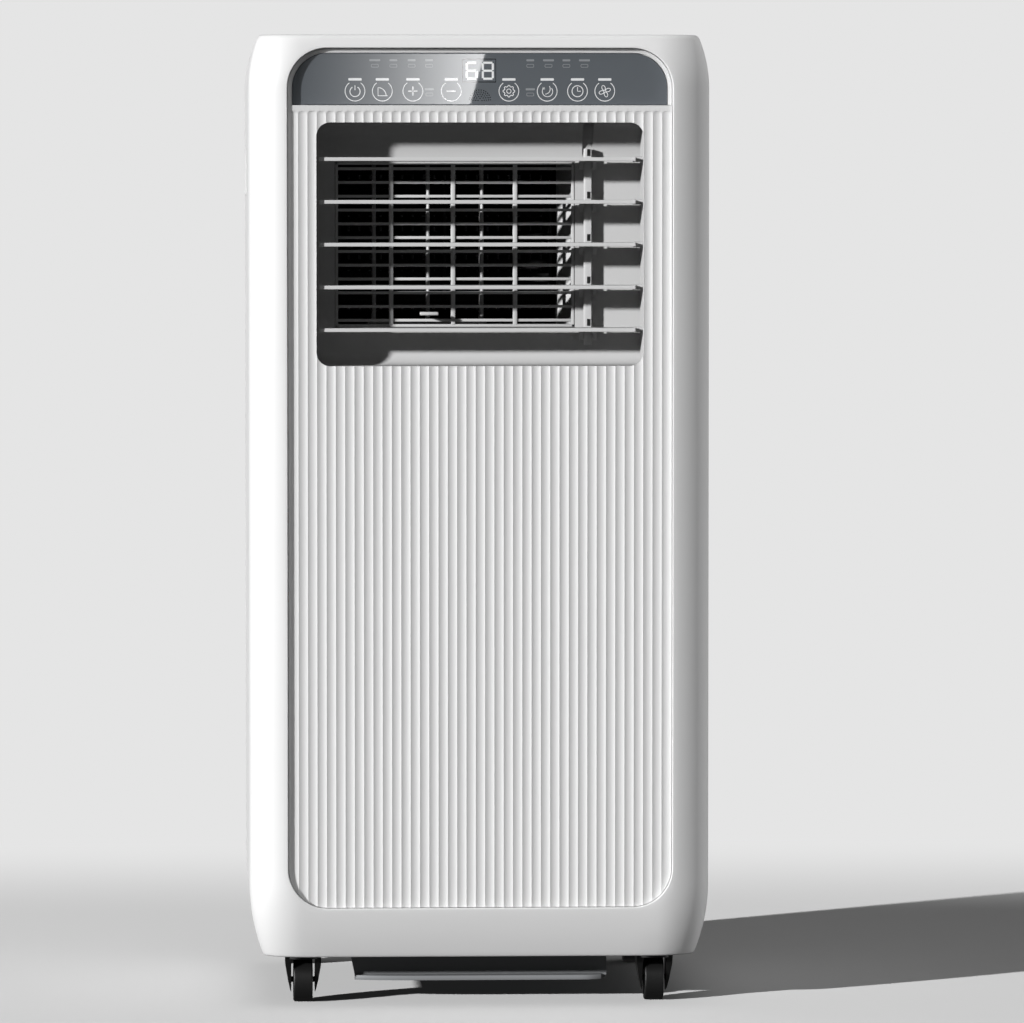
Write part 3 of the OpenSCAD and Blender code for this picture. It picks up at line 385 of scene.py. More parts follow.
def build_front_shell():
    """The front skin as rings from the well's walls, over its rim, out to the corners and edges."""
    bm = bmesh.new()
    corner_steps, side_steps, rim_steps, skin_steps = 16, 40, 4, 14
    well_wall = 5 * MM
    zc1, zc0 = WELL_TOP - WELL_R, WELL_BOTTOM + WELL_R
    half_w = WELL_W / 2
    xc = half_w - WELL_R
    well, outer = [], []

    def corner(sx, sz, order):
        """Pairs one round corner of the well with the skin's outer corner on the same side."""
        for k in order:
            a = math.radians(90 * k / corner_steps)
            zc = zc1 if sz > 0 else zc0
            well.append((sx * (xc + WELL_R * math.cos(a)), zc + sz * WELL_R * math.sin(a)))
            t = k / corner_steps
            z_edge = Z_EDGE_TOP if sz > 0 else Z_EDGE_FOOT
            s_side = S_RIGHT if sx > 0 else S_LEFT
            if t <= 0.5:
                outer.append((s_side, zc + (z_edge - zc) * t * 2))
            else:
                s_mid = skin_s(sx * xc, z_edge)
                outer.append((s_side + (s_mid - s_side) * (t - 0.5) * 2, z_edge))

    def side(start, end, skin_at):
        """Pairs one straight side of the well with the skin's edge beside it."""
        for k in range(1, side_steps):
            x, z = [a + (b - a) * k / side_steps for a, b in zip(start, end)]
            well.append((x, z))
            outer.append(skin_at(x, z))

    corner(1, 1, range(corner_steps + 1))
    side((xc, WELL_TOP), (-xc, WELL_TOP), lambda x, z: (skin_s(x, Z_EDGE_TOP), Z_EDGE_TOP))
    corner(-1, 1, range(corner_steps, -1, -1))
    side((-half_w, zc1), (-half_w, zc0), lambda x, z: (S_LEFT, z))
    corner(-1, -1, range(corner_steps + 1))
    side((-xc, WELL_BOTTOM), (xc, WELL_BOTTOM), lambda x, z: (skin_s(x, Z_EDGE_FOOT), Z_EDGE_FOOT))
    corner(1, -1, range(corner_steps, -1, -1))
    side((half_w, zc0), (half_w, zc1), lambda x, z: (S_RIGHT, z))

    count = len(well)
    normals = []
    for i in range(count):
        dx = well[(i + 1) % count][0] - well[i - 1][0]
        dz = well[(i + 1) % count][1] - well[i - 1][1]
        length = math.hypot(dx, dz)
        normals.append((dz / length, -dx / length))
    loops = []
    for depth in (WELL_BACK, WELL_BACK - well_wall):
        loops.append([(x, depth, z) for x, z in well])
    for k in range(rim_steps + 1):
        a = math.radians(90 * k / rim_steps)
        out, sunk = WELL_RIM * (1 - math.cos(a)), WELL_RIM * (1 - math.sin(a))
        loop = []
        for (x, z), (nx, nz) in zip(well, normals):
            x2, z2 = x + nx * out, z + nz * out
            p = skin(skin_s(x2, z2), z2, False, 0)
            loop.append((x2, p[1] + sunk, z2))
        loops.append(loop)
    start = [(skin_s(x + nx * WELL_RIM, z + nz * WELL_RIM), z + nz * WELL_RIM)
             for (x, z), (nx, nz) in zip(well, normals)]
    for k in range(1, skin_steps + 1):
        t = k / skin_steps
        loops.append([skin(a[0] + (b[0] - a[0]) * t, a[1] + (b[1] - a[1]) * t, False, 0)
                      for a, b in zip(start, outer)])
    loft(bm, loops)
    for s_edge, s_end in ((S_LEFT, 0.0), (S_RIGHT, 5.0)):
        zs = sorted({round(z, 7) for s, z in outer if abs(s - s_edge) < 1e-6})
        loft(bm, [[skin(s, z, False, 0) for z in zs] for s in spread(s_edge, s_end, 3)], close=False)
    for z_edge, rim in ((Z_EDGE_TOP, top_rim), (Z_EDGE_FOOT, foot_rim)):
        values = sorted({round(s, 7) for s, z in outer if abs(z - z_edge) < 1e-9})
        rim(bm, spread(0, 1, 3)[:-1] + values + spread(4, 5, 3)[1:], False, 0)
    obj = from_bmesh("front_shell_skin", bm)
    outward(obj)
    thicken(obj, WALL)
    return finish_mesh(obj, "cabinet", "shell_white", ["front_shell"])


def outward(obj):
    """Turns an open skin's faces so that they look away from the cabinet's middle."""
    bm = bmesh.new()
    bm.from_mesh(obj.data)
    bm.faces.ensure_lookup_table()
    face = max(bm.faces, key=lambda f: abs(f.calc_center_median().x))
    if face.normal.x * face.calc_center_median().x < 0:
        bmesh.ops.reverse_faces(bm, faces=bm.faces)
    bm.to_mesh(obj.data)
    bm.free()


def build_rear_cover():
    """The rear skin with openings for the intakes, exhaust, plugs, cord, screws and handles."""
    bm = bmesh.new()
    s_values = (spread(0, 1, 3) + spread(1, 2, 14)[1:] + spread(2, 3, 6)[1:] + spread(3, 4, 14)[1:]
                + spread(4, 5, 3)[1:])
    z_values = (spread(Z_EDGE_FOOT, FOOT_START, 10) + spread(FOOT_START, TOP_START, 8)[1:]
                + spread(TOP_START, Z_EDGE_TOP, 10)[1:])
    loft(bm, [[skin(s, z, True, SEAM) for s in s_values] for z in z_values], close=False)
    top_rim(bm, s_values, True, SEAM)
    foot_rim(bm, s_values, True, SEAM)
    obj = from_bmesh("rear_cover_skin", bm)
    outward(obj)
    thicken(obj, WALL)
    inside, outside, screw_seat = HALF_D - 8 * MM, HALF_D + 5 * MM, HALF_D - 3.8 * MM
    cutters = []
    for name in ("upper_intake_frame", "lower_intake_frame"):
        low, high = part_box(name)
        opening = rounded_rect((low.x + high.x) / 2, (low.z + high.z) / 2, high.x - low.x + 1 * MM,
                               high.z - low.z + 1 * MM, 8 * MM)
        cutters.append(prism_y("hole", opening, inside, outside))
    for name, grow in (("exhaust_collar", -6.4), ("drain_plug_upper", 0.7), ("drain_plug_lower", 0.7),
                       ("cord_gland", -3)):
        low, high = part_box(name)
        radius = (high.x - low.x) / 2 + grow * MM
        cutters.append(prism_y("hole", circle((low.x + high.x) / 2, (low.z + high.z) / 2, radius, 96),
                               inside, outside))
    low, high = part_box("cover_screws")
    head_r, hole_r, middle_row = 3.6 * MM, 4 * MM, 300 * MM
    for x in (low.x + head_r, high.x - head_r):
        for z in (low.z + head_r, middle_row, high.z - head_r):
            cutters.append(prism_y("hole", circle(x, z, hole_r, 32), screw_seat, outside))
    for name in ("handle_left", "handle_right"):
        low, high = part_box(name)
        sign = 1 if low.x > 0 else -1
        xs = (sign * (HALF_W - 10 * MM), sign * (HALF_W + 5 * MM))
        bm = bmesh.new()
        box_mesh(bm, (min(xs), low.y - SEAM, low.z - SEAM), (max(xs), high.y + SEAM, high.z + SEAM))
        cutters.append(from_bmesh("hole", bm))
    cut(obj, cutters)
    return finish_mesh(obj, "cabinet", "shell_white", ["rear_cover"], sharp_deg=30)


def build_top_cover():
    """The flat lid with a softened edge and the rim below it."""
    low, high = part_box("top_cover")
    w, d = high.x - low.x, high.y - low.y
    z1 = high.z
    z0 = z1 - WALL
    fillet, rim_out, rim_in = 0.8 * MM, 4 * MM, 6.5 * MM

    def ring(off, z):
        return [(x, y, z) for x, y in rounded_rect(0, 0, w - 2 * off, d - 2 * off, ROOF_R - off, 12)]

    bm = bmesh.new()
    loft(bm, [ring(*at) for at in (
        (0, z0), (0, z1 - fillet), (0.23 * fillet, z1 - 0.4 * fillet), (0.6 * fillet, z1 - 0.1 * fillet),
        (fillet, z1))], cap_start=True, cap_end=True)
    loft(bm, [ring(*at) for at in ((rim_out, z0), (rim_out, low.z), (rim_in, low.z), (rim_in, z0))])
    return finish_mesh(from_bmesh("top_lid", bm), "cabinet", "shell_white", ["top_cover"])


# ---------- fluted panel ----------

FLUTES = 41
PITCH = 6.455 * MM
FLUTE_R = 8.2 * MM
FLUTE_DEPTH = FLUTE_R - math.sqrt(FLUTE_R ** 2 - (PITCH / 2) ** 2)
RUN_OUT = 3.0 * MM
duct_low, duct_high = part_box("vent_duct")
DUCT_WALL = 2.7 * MM
VENT_HALF, VENT_R = duct_high.x - DUCT_WALL, 9.7 * MM
VENT_BOTTOM, VENT_TOP = duct_low.z + DUCT_WALL, Z_TOP - 60.7 * MM


def flute_depth(x, z, top):
    """Depth of the flutes below the ridges, with rounded run-outs under the flat upper margin."""
    k = round(x / PITCH)
    if abs(k) > FLUTES // 2:
        return 0.0
    u = x - k * PITCH
    arc = math.sqrt(max(0.0, FLUTE_R ** 2 - u * u)) - (FLUTE_R - FLUTE_DEPTH)
    t = min(1.0, max(0.0, (top - z) / RUN_OUT))
    lift = FLUTE_DEPTH * (1 - math.sqrt(1 - (1 - t) ** 2))
    return max(0.0, arc - lift)


def build_panel():
    """The fluted front in upright strips, two above and below the vent and one on each side of it."""
    top, ridge_y, back_y = panel_high.z, panel_low.y, panel_high.y
    flute_top = top - 3.9 * MM
    half = panel_high.x
    r = WELL_R - 0.4 * MM
    flute_steps, corner_steps, run_steps = 12, 12, 8
    xs = set()
    for k in range(-(FLUTES // 2), FLUTES // 2 + 1):
        for j in range(flute_steps + 1):
            xs.add(round((k + (j / flute_steps - 0.5)) * PITCH, 7))
    xs = {x for x in xs if abs(x) < half - 1e-5}
    for x in (half, VENT_HALF, VENT_HALF - VENT_R):
        xs |= {x, -x}
    for k in range(1, corner_steps):
        a = math.radians(90 * k / corner_steps)
        for x in (VENT_HALF - VENT_R + VENT_R * math.sin(a), half - r + r * math.sin(a)):
            xs |= {x, -x}
    xs = sorted(xs)

    def low_z(x):
        over = abs(x) - (half - r)
        return panel_low.z + (r - math.sqrt(max(0, r * r - over * over)) if over > 0 else 0)

    def vent_z(x):
        over = abs(x) - (VENT_HALF - VENT_R)
        drop = VENT_R - math.sqrt(max(0, VENT_R ** 2 - over * over)) if over > 0 else 0
        return VENT_BOTTOM + drop, VENT_TOP - drop

    bm = bmesh.new()
    made = {}

    def vertex(x, z, y=None):
        y = ridge_y + flute_depth(x, z, flute_top) if y is None else y
        key = (round(x, 7), round(y, 7), round(z, 7))
        if key not in made:
            made[key] = bm.verts.new((x, y, z))
        return made[key]

    run_rows = [flute_top - RUN_OUT + RUN_OUT * (1 - (1 - k / run_steps) ** 2)
                for k in range(run_steps + 1)] + [top]

    def strip(x0, x1, column0, column1):
        for (a0, b0), (a1, b1) in zip(zip(column0, column0[1:]), zip(column1, column1[1:])):
            quad = [vertex(x0, a0), vertex(x1, a1), vertex(x1, b1), vertex(x0, b0)]
            quad = [v for i, v in enumerate(quad) if v not in quad[:i]]
            if len(quad) > 2:
                bm.faces.new(quad)

    for x0, x1 in zip(xs, xs[1:]):
        mid = abs(x0 + x1) / 2
        if mid < VENT_HALF:
            (v0, w0), (v1, w1) = vent_z(x0), vent_z(x1)
            strip(x0, x1, [low_z(x0), v0], [low_z(x1), v1])
            strip(x0, x1, [w0] + run_rows, [w1] + run_rows)
        else:
            strip(x0, x1, [low_z(x0)] + run_rows, [low_z(x1)] + run_rows)
    edges = [e for e in bm.edges if e.is_boundary]
    ring = bmesh.ops.extrude_edge_only(bm, edges=edges)
    for v in {v for v in ring["geom"] if isinstance(v, bmesh.types.BMVert)}:
        v.co.y = back_y
    obj = from_bmesh("fluted_front", bm)
    return finish_mesh(obj, "cabinet", "panel_white", ["fluted_panel"], sharp_deg=28)


# ---------- control glass and its print ----------

glass_low, glass_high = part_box("control_glass")
GLASS_X = (glass_low.x + glass_high.x) / 2
GLASS_R = 24.2 * MM


def glass_outline(grow):
    """The glass from the front: round upper corners and slightly clipped lower ones."""
    half = (glass_high.x - glass_low.x) / 2 + grow
    top, bottom, r = glass_high.z + grow, glass_low.z - grow, GLASS_R + grow
    clip, steps = 0.3 * MM, 18
    pts = [(half - clip, bottom), (half, bottom + clip)]
    for sx, order in ((1, range(0, steps + 1)), (-1, range(steps, -1, -1))):
        for k in order:
            a = math.radians(90 * k / steps)
            pts.append((sx * (half - r + r * math.cos(a)), top - r + r * math.sin(a)))
    pts += [(-half, bottom + clip), (-half + clip, bottom)]
    return [(GLASS_X + x, z) for x, z in pts]


def build_glass():
    bm = bmesh.new()
    slab_y(bm, glass_outline, glass_low.y, glass_high.y, 0.5 * MM)
    return finish_mesh(from_bmesh("touch_glass", bm), "cabinet", "control_glass", ["control_glass"],
                       sharp_deg=10)


class Print:
    """Flat marks just in front of the glass, drawn in millimetres from its lower middle."""

    def __init__(self, name, finish, lift):
        self.name, self.finish = name, finish
        self.y = glass_low.y - lift * MM
        self.bm = bmesh.new()

    def poly(self, points):
        self.bm.faces.new([self.bm.verts.new((GLASS_X + x * MM, self.y, glass_low.z + z * MM))
                           for x, z in points])

    def bar(self, x, z, w, h, r=0.0):
        if r:
            self.poly(rounded_rect(x, z, w, h, r, 3))
        else:
            self.poly([(x - w / 2, z - h / 2), (x + w / 2, z - h / 2), (x + w / 2, z + h / 2),
                       (x - w / 2, z + h / 2)])

    def line(self, points, width, closed=False):
        pts = list(points)
        n = len(pts)
        left, right = [], []
        for i, (x, z) in enumerate(pts):
            a = pts[i - 1] if i or closed else pts[i]
            b = pts[(i + 1) % n] if i < n - 1 or closed else pts[i]
            dx, dz = b[0] - a[0], b[1] - a[1]
            length = math.hypot(dx, dz) or 1
            nx, nz = -dz / length * width / 2, dx / length * width / 2
            left.append((x + nx, z + nz))
            right.append((x - nx, z - nz))
        for i in range(n if closed else n - 1):
            j = (i + 1) % n
            self.poly([left[i], left[j], right[j], right[i]])

    def arc(self, x, z, r, a0, a1, width, steps=40):
        self.line([(x + r * math.cos(math.radians(a0 + (a1 - a0) * k / steps)),
                    z + r * math.sin(math.radians(a0 + (a1 - a0) * k / steps)))
                   for k in range(steps + 1)], width)

    def dot(self, x, z, r, steps=12):
        self.poly([(x + r * math.cos(2 * math.pi * k / steps), z + r * math.sin(2 * math.pi * k / steps))
                   for k in range(steps)])

    def done(self, slot):
        obj = from_bmesh(self.name, self.bm)
        for p in obj.data.polygons:
            if p.normal.y > 0:
                p.flip()
        return finish_mesh(obj, "cabinet", slot, finish=self.finish)


KEY_X = (-86.4, -67.5, -46.4, -19.9, 20.0, 46.5, 67.5, 86.4)
KEY_Z, KEY_R = 9.5, 6.85
LAMP_X = (-72.7, -59.9, -47.3, -35.2, 34.8, 47.4, 59.8, 72.3)
LOW_LAMP_X = (-35.0, 34.8)
WIDE_LABELS = (0, 5, 7)
LINE = 0.55
DOT_RINGS = ((1.4, 3), (2.9, 6), (4.4, 9), (5.9, 12), (7.3, 14))
DIGIT_Z, DIGIT_W, DIGIT_H, STROKE = 23.6, 6.9, 11.0, 1.5


def build_print():
    """Eight ringed keys with their signs, lamps with label bars, the display, and dots below it."""
    marks = Print("key_marks", PRINT, 0.06)
    faint = Print("lamp_marks", PRINT_FAINT, 0.06)
    dark = Print("display_window", PRINT_DARK, 0.03)

    def lamp(x, z, label_z, label_w):
        faint.bar(x, label_z, label_w, 1.4, 0.4)
        faint.line(rounded_rect(x, z, 4.8, 2.0, 0.5, 3), 0.4, closed=True)

    for x in KEY_X:
        marks.arc(x, KEY_Z, KEY_R, 125, 415, LINE)
        marks.bar(x, KEY_Z + 8.1, 9.2, 1.7, 0.5)
    x = KEY_X[0]
    marks.arc(x, KEY_Z - 0.3, 3.5, 120, 420, 0.6)
    marks.line([(x, KEY_Z + 0.6), (x, KEY_Z + 4.0)], 0.6)
    x = KEY_X[1]
    marks.line([(x - 3, KEY_Z + 2.6), (x - 3, KEY_Z - 3.2), (x + 3.6, KEY_Z - 3.2)], LINE)
    marks.arc(x - 3, KEY_Z - 3.2, 5.6, 0, 90, LINE, 16)
    x = KEY_X[2]
    marks.line([(x - 3.2, KEY_Z), (x + 3.2, KEY_Z)], 0.75)
    marks.line([(x, KEY_Z - 3.2), (x, KEY_Z + 3.2)], 0.75)
    x = KEY_X[3]
    marks.line([(x - 3.2, KEY_Z), (x + 3.2, KEY_Z)], 0.75)
    x = KEY_X[4]
    gear = []
    for k in range(96):
        a = 2 * math.pi * k / 96
        r = 3.6 + 0.42 * math.tanh(3 * math.cos(8 * a))
        gear.append((x + r * math.cos(a), KEY_Z + r * math.sin(a)))
    marks.line(gear, LINE, closed=True)
    marks.arc(x, KEY_Z, 1.5, 0, 360, 0.5, 24)
    x = KEY_X[5]
    marks.arc(x + 0.2, KEY_Z - 0.2, 3.6, 150, 400, 0.5, 30)
    marks.arc(x - 1.4, KEY_Z + 1.5, 3.5, -88, 36, 0.5, 20)
    for a in (0, 60, 120):
        c, s = math.cos(math.radians(a)), math.sin(math.radians(a))
        marks.line([(x - 2.5 - c, KEY_Z + 1.9 - s), (x - 2.5 + c, KEY_Z + 1.9 + s)], 0.35)
    x = KEY_X[6]
    marks.arc(x, KEY_Z, 3.8, 0, 360, 0.6, 40)
    marks.line([(x, KEY_Z + 2.8), (x, KEY_Z), (x + 2.2, KEY_Z)], 0.6)
    x = KEY_X[7]
    for k in range(4):
        c, s = math.cos(math.radians(20 + 90 * k)), math.sin(math.radians(20 + 90 * k))
        petal = []
        for j in range(24):
            t = 2 * math.pi * j / 24
            px, pz = 2.4 + 1.75 * math.cos(t), 1.15 * math.sin(t)
            petal.append((x + px * c - pz * s, KEY_Z + px * s + pz * c))
        marks.line(petal, 0.5, closed=True)
    for i, x in enumerate(LAMP_X):
        lamp(x, 27.0, 30.8, 7.6 if i in WIDE_LABELS else 5.4)
    for x in LOW_LAMP_X:
        lamp(x, 7.2, 10.8, 6.4)
    dark.line([(-12.0, 15.8), (10.9, 15.8), (10.9, 31.6), (-12.0, 31.6)], 0.7, closed=True)
    for ring, count in DOT_RINGS:
        for k in range(count):
            a = math.radians(4 + 172 * k / (count - 1))
            dark.dot(ring * math.cos(a), 3.0 + ring * math.sin(a), 0.42)
    digits = Print("display_digits", DIGIT, 0.08)
    level = {"a": DIGIT_H / 2, "g": 0, "d": -DIGIT_H / 2}
    for x, segments in ((-5.7, "afgedc"), (5.4, "abcdefg")):
        for segment in segments:
            if segment in level:
                digits.bar(x, DIGIT_Z + level[segment], DIGIT_W - 0.5, STROKE, 0.3)
            else:
                sx = 1 if segment in "bc" else -1
                sz = 1 if segment in "bf" else -1
                digits.bar(x + sx * DIGIT_W / 2, DIGIT_Z + sz * DIGIT_H / 4, STROKE, DIGIT_H / 2 - 0.7,
                           0.3)
    return [item.done("display_black") for item in (marks, faint, dark, digits)]


# ---------- air outlet ----------


def build_duct():
    """The bowl behind the outlet, coved above and below, with the link's pocket and the blower throat."""
    grille_low, grille_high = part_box("vent_grille")
    link_low, link_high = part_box("louvre_link")
    room, link_room = 0.3 * MM, 0.9 * MM
    x0, x1 = grille_low.x - room, grille_high.x + room
    z0, z1 = grille_low.z - room, grille_high.z + room
    front, back, end = duct_low.y, grille_low.y - 1 * MM, duct_high.y
    floor_cove, roof_cove = 10 * MM, 26 * MM
    pocket_deep, pocket_high = 24 * MM, 26 * MM
    taper_y, right_end = -60 * MM, x1 - 9.4 * MM

    def side_outline(grow, y_front):
        """The bowl from the side: floor, lower cove, upper cove, roof."""
        pts = [(y_front, VENT_BOTTOM - grow)]
        r = floor_cove + grow
        y, z = back + grow - r, VENT_BOTTOM - grow + r
        for k in range(15):
            a = math.radians(90 * k / 14)
            pts.append((y + r * math.sin(a), z - r * math.cos(a)))
        r = roof_cove + grow
        y, z = back + grow - r, VENT_TOP + grow - r
        for k in range(19):
            a = math.radians(90 * k / 18)
            pts.append((y + r * math.cos(a), z + r * math.sin(a)))
        pts.append((y_front, VENT_TOP + grow))
        return pts

    def across(name, outline, half):
        bm = bmesh.new()
        loft(bm, [[(x, y, z) for y, z in outline] for x in (-half, half)], cap_start=True, cap_end=True)
        return from_bmesh(name, bm)

    def throat(name, grow, y_start, y_end):
        """The passage to the blower, its right side tapering in."""
        bm = bmesh.new()
        plan = [(x0 - grow, y_start), (x1 + grow, y_start), (x1 + grow, back + 10 * MM),
                (right_end + grow, taper_y), (right_end + grow, y_end), (x0 - grow, y_end)]
        loft(bm, [[(x, y, z) for x, y in plan] for z in (z0 - grow, z1 + grow)], cap_start=True,
             cap_end=True)
        return from_bmesh(name, bm)

    def pocket(name, grow):
        """Room behind the roof cove for the link bar when the louvres tilt."""
        bm = bmesh.new()
        box_mesh(bm, (link_low.x - (link_room + grow), back - pocket_deep, VENT_TOP - pocket_high),
                 (link_high.x + (link_room + grow), back + grow, VENT_TOP + grow))
        return from_bmesh(name, bm)

    duct = across("outlet_duct", side_outline(DUCT_WALL, front), VENT_HALF + DUCT_WALL)
    cut(duct, [throat("add", DUCT_WALL, back + 1 * MM, end), pocket("pocket_wall", DUCT_WALL)], "UNION")
    cut(duct, [across("bowl", side_outline(0, front - 2 * MM), VENT_HALF),
               throat("bore", 0, back - 1 * MM, end + 1 * MM), pocket("pocket", 0)])
    return finish_mesh(duct, "cabinet", "outlet_white", ["vent_duct"], sharp_deg=10)


def build_grille():
    """The guard in front of the blower: a frame, level slats and upright ribs."""
    low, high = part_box("vent_grille")
    bar, rib, slats, pitch = 2 * MM, 3 * MM, 12, 9.6 * MM
    rib_xs = (-60.4 * MM, -17.2 * MM, 26.1 * MM)
    frame_back, slat_back, rib_back = low.y + 8 * MM, low.y + 7 * MM, low.y + 7.5 * MM
    bm = bmesh.new()
    for a, b in (((low.x, low.y, low.z), (low.x + bar, frame_back, high.z)),
                 ((high.x - bar, low.y, low.z), (high.x, frame_back, high.z)),
                 ((low.x, low.y, low.z), (high.x, frame_back, low.z + bar)),
                 ((low.x, low.y, high.z - bar), (high.x, frame_back, high.z))):
        box_mesh(bm, a, b, 0.35 * MM)
    middle = (low.z + high.z) / 2
    for i in range(slats):
        z = middle + (i - (slats - 1) / 2) * pitch
        box_mesh(bm, (low.x + 1 * MM, low.y + 1 * MM, z - bar / 2), (high.x - 1 * MM, slat_back, z + bar / 2),
                 0.4 * MM)
    for x in rib_xs:
        box_mesh(bm, (x - rib / 2, low.y, low.z + 1 * MM), (x + rib / 2, rib_back, high.z - 1 * MM), 0.5 * MM)
    return finish_mesh(from_bmesh("outlet_grille", bm), "cabinet", "outlet_white", ["vent_grille"])


def rod_mesh(bm, axis, centre, r, a, b, steps=28, bevel=0.3 * MM):
    """A round bar along x, y or z with softened ends; centre holds its other two coordinates."""
    rings = []
    for along, radius in ((a, r - bevel), (a + bevel, r), (b - bevel, r), (b, r - bevel)):
        ring = []
        for k in range(steps):
            p = [centre[0] + radius * math.cos(2 * math.pi * k / steps),
                 centre[1] + radius * math.sin(2 * math.pi * k / steps)]
            p.insert(axis, along)
            ring.append(p)
        rings.append(ring)
    loft(bm, rings, cap_start=True, cap_end=True)


def soft_profile_x(bm, outline, x0, x1, bevel):
    """A bar along x with the yz outline function outline(inset) and rounded ends."""
    loops = []
    for k in range(4):
        a = math.radians(30 * k)
        loops.append([(x0 + bevel * (1 - math.sin(a)), y, z) for y, z in outline(bevel * (1 - math.cos(a)))])
    back = [[(x0 + x1 - x, y, z) for x, y, z in loop] for loop in loops[::-1]]
    loft(bm, loops + back, cap_start=True, cap_end=True)


LOUVRES = range(1, 6)
VANES = range(1, 4)
JOINTS = {joint["name"]: joint for joint in frame["record"]["behaviour"]["joints"]}
LINK_DY, LINK_DZ = 14 * MM, -6 * MM
LOUVRE_X0, LOUVRE_X1 = -111.1 * MM, 107.9 * MM
LOUVRE_REAR, LOUVRE_T, LOUVRE_R = 8.5 * MM, 3.3 * MM, 0.7 * MM


def louvre_pivot(i):
    return Vector(JOINTS["louvre_%d_tilt" % i]["pos_m"])


def build_louvre(i):
    """A blade with a rounded nose, a thinner tail, its two pivot pins and the arms of the link bar's pin."""
    low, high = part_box("louvre_%d" % i)
    link_low, link_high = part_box("louvre_link")
    pivot = louvre_pivot(i)
    front = low.y - pivot.y
    link_y, link_z = pivot.y + LINK_DY, pivot.z + LINK_DZ
    pin_r, link_pin_r, tip_r = 1.9 * MM, 1.5 * MM, 1.85 * MM
    arm_y0, arm_y1, arm_top, arm_w = pivot.y + 1 * MM, pivot.y + 7.5 * MM, pivot.z + 0.9 * MM, 3 * MM

    def blade(inset):
        return rounded_rect(pivot.y + (front + LOUVRE_REAR) / 2, pivot.z, LOUVRE_REAR - front - 2 * inset,
                            LOUVRE_T - 2 * inset, LOUVRE_R - inset, 5)

    def tail(inset):
        return rounded_rect(pivot.y + LOUVRE_REAR + 0.6 * MM, pivot.z + 0.2 * MM, 3.6 * MM - 2 * inset,
                            2.8 * MM - 2 * inset, 1.2 * MM - inset, 4)

    def arm(inset):
        pts = [(arm_y0 + inset, pivot.z), (arm_y0 + inset, arm_top - inset), (arm_y1, arm_top - inset)]
        for a in range(50, -151, -20):
            pts.append((link_y + (tip_r - inset) * math.cos(math.radians(a)),
                        link_z + (tip_r - inset) * math.sin(math.radians(a))))
        return pts[::-1]

    bm = bmesh.new()
    soft_profile_x(bm, blade, LOUVRE_X0, LOUVRE_X1, 0.35 * MM)
    soft_profile_x(bm, tail, LOUVRE_X0 + 1.5 * MM, link_low.x - 0.5 * MM, 0.4 * MM)
    soft_profile_x(bm, tail, link_high.x + 0.5 * MM, LOUVRE_X1 - 1.5 * MM, 0.4 * MM)
    for x0, x1 in ((low.x, LOUVRE_X0 + 2 * MM), (LOUVRE_X1 - 1 * MM, high.x)):
        rod_mesh(bm, 0, (pivot.y, pivot.z), pin_r, x0, x1)
    for x in (link_low.x - arm_w - 0.4 * MM, link_high.x + 0.4 * MM):
        soft_profile_x(bm, arm, x, x + arm_w, 0.3 * MM)
    rod_mesh(bm, 0, (link_y, link_z), link_pin_r, link_low.x - 1 * MM, link_high.x + 1 * MM,
             bevel=0.1 * MM)
    return finish_mesh(from_bmesh("louvre_blade_%d" % i, bm), "louvre_%d" % i, "outlet_white",
                       ["louvre_%d" % i])


def build_link():
    """The upright bar that ties the louvres together, notched above each pin's hole."""
    low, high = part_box("louvre_link")
    hole_r = 1.56 * MM
    bm = bmesh.new()
    box_mesh(bm, low, high, 0.5 * MM, 3)
    bar = from_bmesh("louvre_link_bar", bm)
    for i in LOUVRES:
        pivot = louvre_pivot(i)
        z = pivot.z + LINK_DZ
        bm = bmesh.new()
        rod_mesh(bm, 0, (pivot.y + LINK_DY, z), hole_r, low.x - 1 * MM, high.x + 1 * MM, bevel=0.1 * MM)
        hole = from_bmesh("hole", bm)
        bm = bmesh.new()
        box_mesh(bm, (low.x + 2.2 * MM, low.y - 1 * MM, z + 8.2 * MM),
                 (high.x - 0.7 * MM, low.y + 3.6 * MM, z + 13 * MM))
        cut(bar, [hole, from_bmesh("notch", bm)])
    return finish_mesh(bar, "louvre_link", "outlet_white", ["louvre_link"], sharp_deg=30)


